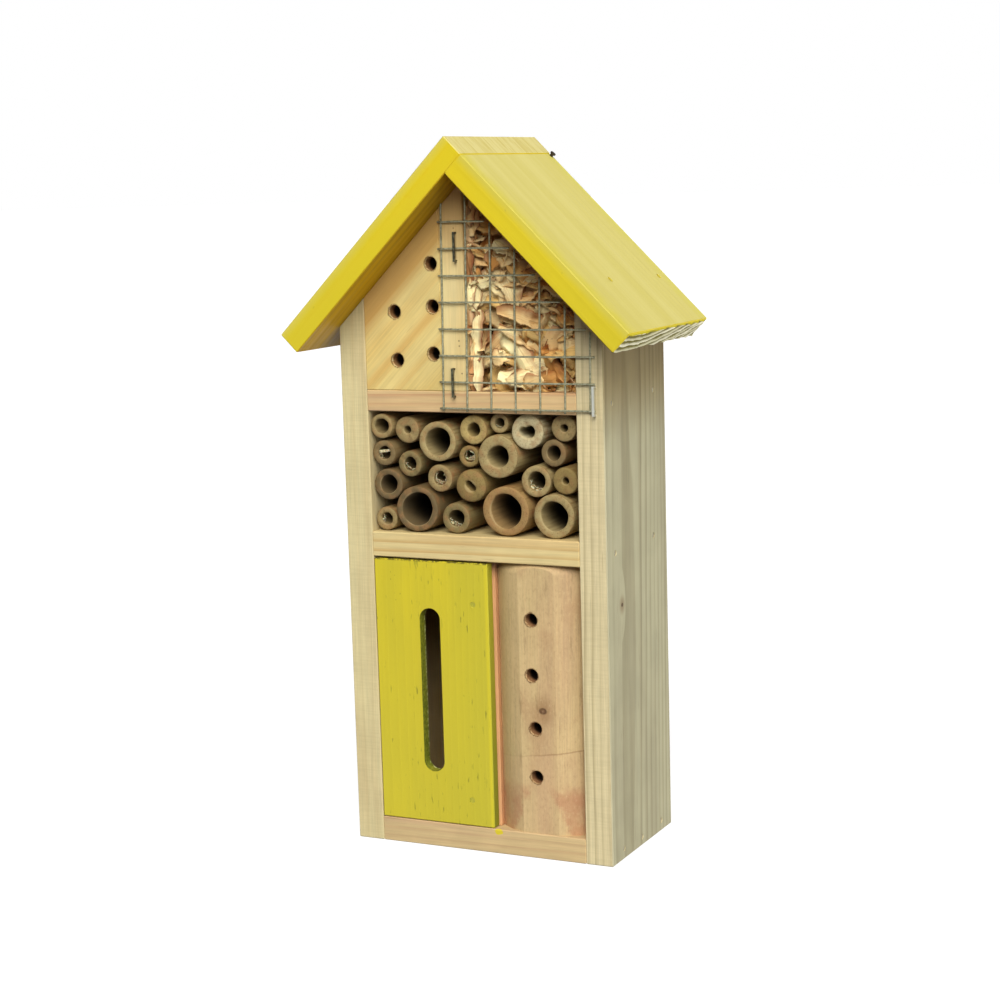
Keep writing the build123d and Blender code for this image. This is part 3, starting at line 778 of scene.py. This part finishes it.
# ---- bamboo ----
CREAM, WHEAT, STRAW, KHAKI = "bbae86", "aa945c", "9d8b5e", "8f7c52"
OLIVE, DRAB, UMBER, BARK, RUSSET = "867243", "786a44", "766442", "665639", "987a4c"
TONES = {
    1: KHAKI, 2: KHAKI, 3: STRAW, 4: WHEAT, 5: STRAW, 6: CREAM, 7: KHAKI, 8: UMBER, 9: DRAB, 10: OLIVE,
    11: STRAW, 12: UMBER, 13: BARK, 14: KHAKI, 15: OLIVE, 16: STRAW, 17: OLIVE, 18: KHAKI, 19: BARK,
    20: DRAB, 21: RUSSET, 22: STRAW,
}


def cane_shade(name, roughness):
    """A material that starts from the tube's own tone, and its place."""
    shade = Shade(name, roughness, 0.2)
    shade.colour(shade.attribute("cane", "Color"))
    return shade, shade.place


def bamboo_shades(front):
    """Skin, sawn end and inner wall of a dry tube. The wall goes near black deeper in, a painted shade."""
    skin, place = cane_shade("bamboo_skin", 0.55)
    streak = skin.noise(place, (900, 30, 900), 3)
    skin.fade("6f5530", streak, 0.4, 0.7, 0.1, 0.75)
    skin.fade("94603a", skin.noise(place, 200), 0.5, 0.7, 0, 0.5)
    skin.bump(streak, 0.12 * MM, 0.6)

    end, place = cane_shade("bamboo_end", 0.8)
    wall = end.attribute("wall")
    flecks = end.noise(place, 1500, 2, 0.6)
    end.fade("946c44", end.noise(place, 260), 0.42, 0.7, 0, 0.5)
    end.fade("5e4628", flecks, 0.5, 0.72, 0, 0.45)
    end.fade("5c4526", wall, 0.86, 1, 0, 0.6)
    end.fade("b8a67a", wall, 0, 0.14, 0.3, 0)
    end.bump(flecks, 0.25 * MM, 0.7)

    bore, place = cane_shade("bamboo_bore", 0.85)
    grain = bore.noise(place, (700, 40, 700), 3)
    bore.fade("6a5230", grain, 0.35, 0.7, 0, 0.4)
    _, y, _ = bore.axes(place)
    # Painted shade: the bore's wall goes near black deeper in.
    bore.fade("150d06", y, front + 3 * MM, front + 25 * MM, 0.05, 0.95)
    bore.bump(grain, 0.15 * MM, 0.5)
    return [skin, end, bore]


def heart(angle):
    """Bore that comes to a point on the left and is flat on top."""
    point = exp(-((abs(angle - pi)) / 0.5) ** 2)
    flat = exp(-((angle - radians(108)) / 0.5) ** 2)
    floor = exp(-((angle - radians(250)) / 0.7) ** 2)
    return 1 + 0.28 * point - 0.38 * flat - 0.16 * floor


def leaf(angle):
    """Bore closed to a small leaning slit."""
    return 0.62 + 0.5 * cos(angle - radians(135)) ** 2


BORE_SHAPES = {6: heart, 15: leaf}
DOMED = 15                # tube whose end is worn to a dome


class Tube:
    """One cane tube: uneven wall, sawn front end with a worn rim, hollow to the joint near its rear."""

    sides = 64
    joint = 44            # mm from the front

    def __init__(self, number):
        self.number = number
        self.node = f"bamboo_tube_{number:02d}"
        self.low, self.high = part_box(self.node)
        self.axis = (self.low + self.high) / 2
        self.outer = (self.high.x - self.low.x) / 2
        self.inner = min(self.reach(v) for v in NODES[self.node].data.vertices)
        self.chance = random.Random(100 + number)
        self.phase = [self.chance.uniform(0, 2 * pi) for _ in range(6)]
        self.oval = self.chance.uniform(0.006, 0.02)
        self.lump = self.chance.uniform(0.003, 0.008)
        self.shape = BORE_SHAPES.get(number, lambda angle: 1)

    def reach(self, vert):
        """A vertex's distance from the tube's axis."""
        return hypot(vert.co.x - self.axis.x, vert.co.z - self.axis.z)

    def outside(self, t):
        ripple = self.oval * cos(2 * t + self.phase[0]) + self.lump * cos(3 * t + self.phase[1])
        return self.outer * (0.985 - self.oval / 2 + ripple)

    def inside(self, t):
        ripple = 0.035 * cos(2 * t + self.phase[2]) + 0.02 * cos(3 * t + self.phase[3])
        return self.inner * self.shape(t) * (1 + ripple + 0.008 * cos(7 * t + self.phase[4]))

    def ring(self, share, depth, rough=0):
        """A ring of points between the bore (share 0) and the skin (share 1)."""
        points = []
        for k in range(self.sides):
            t = 2 * pi * k / self.sides
            out = spoke(t)
            jag = noise.noise(out * 2.6 + vec(self.number, 0, 0)) + self.chance.uniform(-0.35, 0.35)
            radius = self.inside(t) * (1 - share) + self.outside(t) * share
            points.append(vec(self.axis.x, self.low.y + depth + jag * rough, self.axis.z) + out * radius)
        return points

    def mesh(self):
        builder = bmesh.new()
        length = self.high.y - self.low.y
        rough = 0.22 * MM
        dome = 0.9 * MM if self.number == DOMED else 0
        wall = [self.ring(1, d) for d in (length, length * 0.6, length * 0.3, 0.9 * MM + dome)]
        rim = [self.ring(1, 0.9 * MM + dome)]
        for share, depth in ((0.96, 0.45), (0.84, 0.22), (0.5, 0.16), (0.18, 0.2), (0.06, 0.4)):
            rim.append(self.ring(share, depth * MM + dome * share * share, rough))
        rim.append(self.ring(0, 0.9 * MM))
        hollow = [self.ring(0, d * MM) for d in (0.9, 3, 8, 16, 28, self.joint)]
        for material, rings in enumerate((wall, rim, hollow)):
            loft(builder, rings, material=material)
        bmesh.ops.remove_doubles(builder, verts=builder.verts[:], dist=0.001 * MM)
        for depth, material in ((length, 1), (self.joint * MM, 2)):
            ends = [v for v in builder.verts if abs(v.co.y - self.low.y - depth) < 0.01 * MM]
            ends.sort(key=lambda v: atan2(v.co.z - self.axis.z, v.co.x - self.axis.x))
            builder.faces.new(ends).material_index = material
        return builder

    def make(self, shades):
        """The tube's piece. Its tone is in its cane attribute, and wall is 0 at the bore and 1 outside."""
        made = piece(f"cane_{self.number:02d}", self.mesh(), shades)
        tone = (*srgb(TONES[self.number]), 1)
        cane = made.data.attributes.new("cane", "FLOAT_COLOR", "POINT")
        cane.data.foreach_set("color", tone * len(made.data.vertices))
        depths = [(self.reach(v) - self.inner) / (self.outer - self.inner) for v in made.data.vertices]
        wall = made.data.attributes.new("wall", "FLOAT", "POINT")
        wall.data.foreach_set("value", depths)
        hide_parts(self.node)


def torn_lining(builder, tube, start, sweep, reach, depth, seed):
    """Shredded pith that clings to part of a bore and leans in over it."""
    columns, levels = 22, 7

    def point(i, j):
        s = j / levels
        t = radians(start + sweep * i / columns)
        fringe = ruffle(i * 0.55, s, seed)
        ends = sin(pi * i / columns) ** 0.5
        inward = reach * s * (0.75 + 0.9 * fringe) * ends
        crumple = ruffle(i * 0.8, j * 0.9, seed + 9) * 0.35 * MM
        radius = tube.inside(t) * (0.98 - inward)
        y = tube.low.y + (depth + (3.2 * (1 - s) - 1.2 * s) * fringe) * MM + crumple + 1.5 * MM * (1 - s)
        return vec(tube.axis.x + cos(t) * radius, y, tube.axis.z + sin(t) * radius)

    sheet(builder, columns, levels, point)


def bar(builder, tube):
    """A broken wall of pith left standing across one bore."""
    columns, levels = 12, 4

    def point(i, j):
        t = i / columns
        ragged = ruffle(t * 4, j, 2) * 0.5 * MM
        x = tube.axis.x + (t * 2 - 1) * tube.inner * 0.97
        z = tube.axis.z + (0.12 + 0.28 * t) * tube.inner + (j / levels - 0.5) * 1.2 * MM + ragged * 0.6
        return vec(x, tube.low.y + 1.3 * MM + ragged, z)

    sheet(builder, columns, levels, point)


# White pith left in some bores: (tube, start angle, sweep, reach towards the middle, depth in mm).
TORN_PITH = (
    (9, 175, 130, 0.45, 1.6), (14, 130, 280, 0.42, 1.4), (14, 190, 120, 0.7, 2.6), (20, 185, 120, 0.5, 1.8),
    (16, 180, 120, 0.35, 2.6), (10, 120, 330, 0.45, 1.2), (10, 200, 130, 0.8, 2.4), (18, 140, 80, 0.6, 1.2),
    (5, 200, 100, 0.3, 1.6), (8, 160, 80, 0.5, 1.2),
)


def make_pith(tubes):
    """Shreds of dry pith, one piece for all the tubes."""
    shade = Shade("pith", 0.8, 0.2, Subsurface_Weight=0.2, Subsurface_Scale=1 * MM)
    fray = shade.noise(shade.place, 1400, 3, 0.6)
    shade.colour(shade.mix(shade.clamp(fray, 0.4, 0.7), "d8cba6", "a08c62"))
    shade.bump(fray, 0.2 * MM, 0.7)
    builder = bmesh.new()
    for index, (number, start, sweep, reach, depth) in enumerate(TORN_PITH):
        torn_lining(builder, tubes[number], start, sweep, reach, depth, index * 3.1)
    bar(builder, tubes[8])
    made = piece("pith_shreds", builder, [shade])
    thicken(made, 0.18 * MM)


# ---- wood shavings ----
def shaving_shade(name, pale, warm, dark):
    """Thin planed pine: a pale face that turns brown to one side as painted shade of its curl, with reddish
    late wood along it and edges darkened as painted shade.
    """
    shade = Shade(name, 0.65, 0.15)
    along = shade.attribute("ribbon", "Vector")
    across, _, tone = shade.axes(along)
    lines = shade.noise(along, (9, 0.35, 0), 4, 0.6)
    patch = shade.noise(shade.place, 110, 3)
    shade.colour(shade.mix(shade.clamp(shade.scaled(tone, 0.35, patch), 0.5, 0.9), pale, warm))
    # Browner towards one side: painted shade across the curled strip.
    shade.fade(dark, shade.scaled(patch, 1.2, across), 0.6, 1.6, 0, 0.7)
    shade.fade(dark, lines, 0.5, 0.72, 0, 0.45)
    # Darker edges: painted shade of the crevices between strips.
    shade.fade(dark, shade.math("ABSOLUTE", across), 0.86, 1, 0, 0.3)
    shade.bump(lines, 0.15 * MM, 0.6)
    return shade


class Cavity:
    """The room behind the mesh, right of the attic post and under the right roof board."""

    def __init__(self):
        self.low, self.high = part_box("wood_shavings")
        self.roof_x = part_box("roof_board_right")[0].x
        self.roof_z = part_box("back_panel")[1].z
        self.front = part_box("attic_post")[0].y

    def ceiling(self, x):
        return self.roof_z - abs(x - self.roof_x) - 0.5 * MM

    def place(self, x, depth, z):
        """A point in mm from the left wall, the front and the floor."""
        return vec(self.low.x + x * MM, self.front + depth * MM, self.low.z + z * MM)

    def keep(self, p):
        """The nearest point inside, pressed softly against the walls."""
        x = min(max(p.x, self.low.x - 0.2 * MM), self.high.x + 0.2 * MM)
        z = min(max(p.z, self.low.z + 0.15 * MM), self.ceiling(x))
        nearest = self.front + 1.2 * MM
        y = nearest + (p.y - nearest) * 0.12 if p.y < nearest else min(p.y, self.high.y)
        return vec(x, y, z)


class Shaving:
    """A planed strip: it waves, curls and twists along its length, with folds and torn edges."""

    def __init__(self, chance, length, width, curl, twist, cup, step=0.6 * MM, across=8):
        self.length, self.width = length, width
        self.curl, self.twist, self.cup = curl, twist, cup
        self.step, self.across = step, across
        self.wave = (chance.uniform(10, 60), chance.uniform(0.6, 1.6), chance.uniform(0, 6.28))
        self.seed = chance.uniform(0, 400)
        self.tone = chance.random()
        self.skew = chance.uniform(-0.3, 0.3)
        self.fold = chance.uniform(-0.3, 0.3), chance.choice((-1, 1)) * chance.uniform(0.25, 0.8)

    def middle_line(self):
        """Points and headings along the strip, about its own middle."""
        steps = max(14, int(self.length / self.step))
        swing, beat, phase = self.wave
        heading, point, line = 0, vec(0, 0, 0), []
        for i in range(steps + 1):
            t = i / steps
            line.append((point.copy(), heading, t))
            bend = self.curl * (0.6 + 0.8 * t) + swing * sin(2 * pi * beat * t + phase)
            heading += bend * self.length / steps
            point += vec(cos(heading), sin(heading), 0) * self.length / steps
        centre = sum((p for p, _, _ in line), Vector()) / len(line)
        return [(p - centre, h, t) for p, h, t in line]

    def reach(self, s, t, along):
        """Sideways offset of a point at share s across and t along: torn edges and slanting ends."""
        side = 9 if s > 0 else -9
        torn = ruffle(self.seed, along * 0.22, side) * 0.36
        torn += ruffle(self.seed, along * 1.2, side / 2) * 0.2
        cut = min(t + s * self.skew, 1 - t + s * self.skew)
        ends = min(1, max(0.12, 0.25 + 5 * cut + 0.4 * ruffle(self.seed, s * 6, t)))
        return s * self.width * (1 + torn) * ends

    def lift(self, s, along):
        """Height of the same point: ripples, a cupped section and one long fold."""
        crest, steep = self.fold
        crease = abs(ruffle(self.seed, along * 0.17, 0)) * 1.3 * MM
        ripple = abs(ruffle(self.seed * 1.7, along * 0.10, s * 2.4)) * 1.5 * MM
        ripple += ruffle(self.seed * 2.3, along * 0.5, s * 6) * 0.16 * MM
        bent = abs(s - crest - 0.25 * ruffle(self.seed, along * 0.06, 5)) * steep
        return crease + ripple + self.width * (self.cup * s * s + bent)

    def rows(self):
        """Rows of (place, texture coordinate), one row at each step."""
        made = []
        for point, heading, t in self.middle_line():
            along = t * self.length / MM
            tangent = vec(cos(heading), sin(heading), 0)
            normal = Matrix.Rotation(self.twist * (t - 0.5), 3, tangent) @ vec(-tangent.y, tangent.x, 0)
            sideways = tangent.cross(normal)
            row = []
            for j in range(self.across + 1):
                s = j / self.across - 0.5
                place = point + sideways * self.reach(s, t, along) + normal * self.lift(s, along)
                row.append((place, (s * 2, along * 0.1 + self.seed, self.tone)))
            made.append(row)
        return made

    def add(self, builder, layer, cavity, place, turn, material):
        verts = []
        for row in self.rows():
            made = []
            for point, coordinate in row:
                vert = builder.verts.new(cavity.keep(place + turn @ point))
                vert[layer] = coordinate
                made.append(vert)
            verts.append(made)
        for a, b in zip(verts, verts[1:]):
            for j in range(self.across):
                builder.faces.new((a[j], a[j + 1], b[j + 1], b[j])).material_index = material


def lie(chance, spin, lean, tilt):
    """How a strip lies: spun in the plane of the front, its lower edge leaning out of the pile."""
    over = Matrix.Rotation(chance.uniform(-tilt, tilt) - lean, 3, "X")
    return over @ Matrix.Rotation(chance.uniform(-tilt, tilt), 3, "Z") @ Matrix.Rotation(spin, 3, "Y")


# Loose strips from the rear to the front, lengths in mm: (how many, depth, its spread, tilt, lengths,
# widths, curls, share of warm ones, step along, steps across). The hidden ones are coarser.
STRIP_LAYERS = (
    (60, 15, 3, 0.5, (16, 30), (7, 12), (10, 70), 0.9, 1.1, 5),
    (64, 9, 2, 0.45, (18, 32), (7, 12), (5, 60), 0.55, 0.8, 6),
    (34, 5.6, 1.2, 0.35, (16, 30), (6, 10), (5, 45), 0.3, 0.6, 8),
    (14, 4.2, 1.5, 0.8, (8, 15), (2, 4), (150, 380), 0.5, 0.6, 8),
)
# The largest strips seen at the front: (mm from the left wall, mm above the floor, length, width,
# degrees turned down to the right, depth, material).
BIG_STRIPS = (
    (26, 13, 31, 10, 55, 3, 0), (36, 14, 26, 7, 50, 3.6, 1), (39, 23, 22, 10, 6, 3.6, 0),
    (29, 30, 37, 7, -2, 2.6, 0), (19, 40, 24, 10, 24, 3.6, 0), (38, 38, 21, 8, -14, 4.2, 0),
    (27, 50, 25, 9, 30, 4.4, 1), (13, 59, 21, 9, 34, 3.8, 0), (21, 3.5, 34, 6, -6, 2.6, 0),
    (40, 8, 19, 8, -28, 3.4, 1), (11, 70, 17, 7, 22, 3.6, 1), (8, 77, 10, 6, 0, 3.4, 0),
    (13, 22, 17, 8, -48, 4, 0), (46, 31, 15, 6, 30, 3.4, 1), (11, 49, 15, 8, -14, 3.6, 0),
)
UPRIGHT_STRIPS = 15       # along the attic post


def make_shavings():
    """Loose planed strips and curls, pressed in behind the mesh over a bed darkened with painted shade."""
    cavity = Cavity()
    chance = random.Random(33)
    builder = bmesh.new()
    layer = builder.verts.layers.float_vector.new("ribbon")

    def scatter(depth, spread, tilt, lengths, widths, curls, warm, step, across):
        x = chance.uniform(cavity.low.x, cavity.high.x)
        z = chance.uniform(cavity.low.z, cavity.ceiling(x) - 1.5 * MM)
        y = cavity.front + (depth + chance.uniform(-spread, spread)) * MM
        curl = chance.uniform(*curls) * chance.choice((-1, 1))
        strip = Shaving(
            chance, chance.uniform(*lengths) * MM, chance.uniform(*widths) * MM, curl,
            chance.uniform(-0.8, 0.8), chance.uniform(-0.5, 0.7), step * MM, across,
        )
        spin = chance.choice((0, 0.15, -0.2, 0.5, -0.6, 1.1)) + chance.uniform(-0.25, 0.25)
        turn = lie(chance, spin, 0.3, tilt)
        strip.add(builder, layer, cavity, vec(x, y, z), turn, int(chance.random() < warm))

    for count, *look in STRIP_LAYERS:
        for _ in range(count):
            scatter(*look)
    for x, z, length, width, turned, depth, material in BIG_STRIPS:
        curl, twist = chance.uniform(-22, 22), chance.uniform(-0.4, 0.4)
        strip = Shaving(chance, length * MM, width * MM, curl, twist, 0.4)
        turn = lie(chance, radians(turned), 0.28, 0.12)
        strip.add(builder, layer, cavity, cavity.place(x, depth, z), turn, material)
    for k in range(UPRIGHT_STRIPS):
        length, width = chance.uniform(14, 24) * MM, chance.uniform(3.5, 6) * MM
        strip = Shaving(chance, length, width, chance.uniform(-14, 14), 0.5, 0.3)
        place = cavity.place((1.2, 4, 2.4)[k % 3], 2 + 0.8 * (k % 3), 3 + 5.4 * k)
        turn = lie(chance, pi / 2 + chance.uniform(-0.12, 0.12), 0, 0.2)
        strip.add(builder, layer, cavity, place, turn, 0 if k % 3 else 2)
    shades = [
        shaving_shade("shaving_pale", "faecb4", "e8c284", "8e441f"),
        shaving_shade("shaving_warm", "e4c078", "ca8e4a", "702e16"),
        shaving_shade("shaving_pink", "dcb888", "bc8450", "7a4022"),
    ]
    curls = piece("shavings", builder, shades)
    curls.data.set_sharp_from_angle(angle=radians(26))
    thicken(curls, 0.22 * MM)
    bed = make_bed(cavity)
    for made in (curls, bed):
        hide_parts("wood_shavings")


def make_bed(cavity):
    """Packed shavings at the rear, their dark colours a painted deep shade."""
    columns, levels = 26, 44

    def point(i, j):
        x = cavity.low.x + (cavity.high.x - cavity.low.x) * i / columns
        z = cavity.low.z + (cavity.ceiling(x) - cavity.low.z) * j / levels
        lump = noise.noise(vec(x, 0.3, z) * 130) * 3.5 * MM
        return vec(x, cavity.front + 19 * MM + lump, z)

    builder = bmesh.new()
    sheet(builder, columns, levels, point)
    # The bed's dark browns are painted deep shade.
    bed = piece("shavings_bed", builder, [shaving_shade("shaving_bed", "94582c", "70401e", "42200c")])
    thicken(bed, 1.5 * MM)
    return bed


# ---- torn wood ----
def end_grain_shade():
    """Pale and dark bands with deep grooves between them, the grooves darkened partly by late wood and
    partly by painted shade, and paint over the upper lip.
    """
    shade = Shade("torn_end_grain", 0.85, 0.1)
    beat = shade.attribute("ring_beat")
    fray = shade.noise(shade.place, (700, 200, 700), 4, 0.7)
    pale = shade.mix(shade.attribute("ring_strength"), "d6cfa0", "fdf6d6")
    shade.colour(shade.mix(shade.clamp(shade.scaled(fray, 0.4, beat), 0.55, 0.95), "80783c", pale))
    # The grooves are dark partly from late wood and partly as painted shade.
    shade.fade("3c3814", beat, 0.88, 0.97)
    shade.fade("c4b42e", shade.attribute("paint_lip"), 0.4, 0.6)
    shade.bump(fray, 0.25 * MM, 0.8)
    return shade


def make_end_grain():
    """The right eave's bare end: torn growth rings stand up in terraces, their tops pale."""
    low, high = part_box("roof_board_right")
    slope = vec(1, 0, -1).normalized()
    up = vec(1, 0, 1).normalized()
    corners = [v.co for v in NODES["roof_board_right"].data.vertices]
    run = max(slope.dot(c) for c in corners)
    top = max(up.dot(c) for c in corners)
    thick = top - min(up.dot(c) for c in corners if slope.dot(c) > run - MM)
    columns, levels = 220, 48
    pith_u, pith_v, first_ring, ring_width = 8 * MM, 150 * MM, 146.5 * MM, 3.3 * MM
    groove = 0.14                 # share of a ring's width
    hidden = (0.5, 0.45, 0)     # beat, strength and paint of the slab's two rear points
    loops, looks = [], []
    for i in range(columns + 1):
        loop = []
        u = (high.y - low.y) * i / columns
        y = low.y + 0.4 * MM + u * 0.99
        drip = 0.7 + 0.9 * ruffle(u * 90, 0, 7) + 0.4 * ruffle(u * 400, 0, 9)
        for j in range(levels + 1):
            v = thick * j / levels
            wander = ruffle(u * 45, v * 70, 3) * 1 * MM
            ring = (hypot(u - pith_u, v - pith_v) + wander - first_ring) / ring_width + 0.8
            beat = ring % 1
            terrace = beat ** 1.4 if beat < 1 - groove else (1 - beat) / groove
            torn = 0.72 + 0.45 * ruffle(u * 140, v * 260, ring // 1 * 5.1)
            edge = min(1, min(i, columns - i) / 3, min(j, levels - j) / 2)
            lift = (0.06 + 1.2 * terrace * torn) * MM * edge
            inset = 0.35 * MM + (thick - 0.7 * MM) * v / thick
            place = slope * (run - 0.08 * MM + lift) + up * (top - thick + inset)
            loop.append(vec(min(place.x, high.x - 0.02 * MM), y, place.z))
            strength = 1 if ring // 1 % 2 == 0 else 0.45
            looks.append((beat, strength, 1 if thick - v < max(drip, 0.5) * MM else 0))
        for inset in (thick - 0.5 * MM, 0.5 * MM):
            place = slope * (run - 0.5 * MM) + up * (top - thick + inset)
            loop.append(vec(place.x, y, place.z))
            looks.append(hidden)
        loops.append(loop)
    builder = bmesh.new()
    solid_loft(builder, loops)
    made = piece("eave_end_grain", builder, [end_grain_shade()])
    for name, values in zip(("ring_beat", "ring_strength", "paint_lip"), zip(*looks)):
        made.data.attributes.new(name, "FLOAT", "POINT").data.foreach_set("value", values)


def make_ridge_bead(paint):
    """Paint that fills the front of the joint between the two roof boards."""
    left_low, left_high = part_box("roof_board_left")
    low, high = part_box("roof_board_right")
    foot = vec(low.x, 0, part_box("back_panel")[1].z + 0.3 * MM)
    step = left_high.z - high.z
    along = vec(1, 0, 1).normalized()
    side = vec(1, 0, -1).normalized() * 0.45 * MM
    front, back = left_low.y + 0.05 * MM, left_low.y + 0.4 * MM
    start, end = foot + along * 0.5 * MM, foot + vec(step, 0, step) - along * 0.5 * MM
    rings = []
    for point in (start, end):
        front_edge = [vec(p.x, front, p.z) for p in (point - side, point + side)]
        back_edge = [vec(p.x, back, p.z) for p in (point + side * 0.2, point - side * 0.2)]
        rings.append(front_edge + back_edge)
    builder = bmesh.new()
    solid_loft(builder, rings)
    bead = piece("ridge_paint_bead", builder, [paint])
    bead.data.shade_flat()


def splinter(builder, foot, along, outward_y, length, width):
    """One thin torn fibre that lies on the wood and lifts at its tip."""
    side = vec(along.z, 0, -along.x) * width / 2
    tip = foot + along * length + vec(0, -outward_y, 0)
    sunk = vec(0, 0.1 * MM, 0)
    base = [foot - side + sunk, foot + side + sunk, foot + vec(0, -outward_y * 0.8, 0)]
    verts = [builder.verts.new(p) for p in (*base, tip)]
    for a, b, c in ((0, 1, 2), (0, 3, 1), (1, 3, 2), (2, 3, 0)):
        builder.faces.new((verts[a], verts[b], verts[c]))


def collar(builder, centre, radius, seed):
    """The ragged inner lip of a drilled hole."""
    sides = 56
    rings = []
    for depth, bite in ((0.25, 0), (0.4, 0.05), (0.8, 0.06), (1.5, 0)):
        ring = []
        for k in range(sides):
            out = spoke(2 * pi * k / sides)
            rag = max(0, noise.noise(out * 2.2 + vec(seed, 0, 0)) + 0.25)
            rag += max(0, noise.noise(out * 9 + vec(seed, 3, 0))) * 0.5
            ring.append(centre + out * radius * (1 - bite * rag * 1.2) + vec(0, depth * MM, 0))
        rings.append(ring)
    loft(builder, rings)


def make_hole_mouths():
    """Torn fibres and ragged lips where the drill broke into the attic block and the log."""
    chance = random.Random(8)
    fibres = 14               # at each hole
    looks = (
        ("attic_block", "attic_hole", vec(0.70, 0, 0.71), "d9c48e", "b08450"),
        ("log_block", "log_hole", vec(0.02, 0, 1), "caa878", "8e6840"),
    )
    for node, prefix, grain, pale, dark in looks:
        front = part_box(node)[0].y
        builder = bmesh.new()
        for index, middle_point in enumerate(hole_centres(prefix)):
            centre = vec(middle_point.x, front, middle_point.z)
            collar(builder, centre, HOLE - 0.02 * MM, index * 7.7)
            for _ in range(fibres):
                out = spoke(chance.choice((pi / 2, -pi / 2)) + chance.uniform(-0.9, 0.9))
                foot = centre + out * (3 + chance.uniform(-0.1, 0.3)) * MM
                way = grain if out.dot(grain) > 0 else -grain
                way = (way + vec(chance.uniform(-0.3, 0.3), 0, chance.uniform(-0.3, 0.3))).normalized()
                length = chance.uniform(0.4, 1.3) * MM
                splinter(builder, foot, way, chance.uniform(0.04, 0.14) * MM, length, 0.22 * MM)
        shade = Shade(f"{prefix}_fibres", 0.75, 0.2)
        fray = shade.noise(shade.place, 1100)
        shade.colour(shade.mix(shade.clamp(fray, 0.4, 0.65), pale, dark))
        made = piece(f"{prefix}_mouths", builder, [shade])


# ---- build ----
make_camera()
make_stage()
dress_sides()
dress_shelves()
dress_posts()
dress_block()
dress_back()
dress_log()
left_roof_paint = dress_roof()
dress_door()
dress_metal()
make_mesh()
tube_shades = bamboo_shades(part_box("attic_post")[0].y)
all_tubes = {number: Tube(number) for number in TONES}
for each in all_tubes.values():
    each.make(tube_shades)
make_pith(all_tubes)
make_shavings()
make_end_grain()
make_ridge_bead(left_roof_paint)
make_hole_mouths()
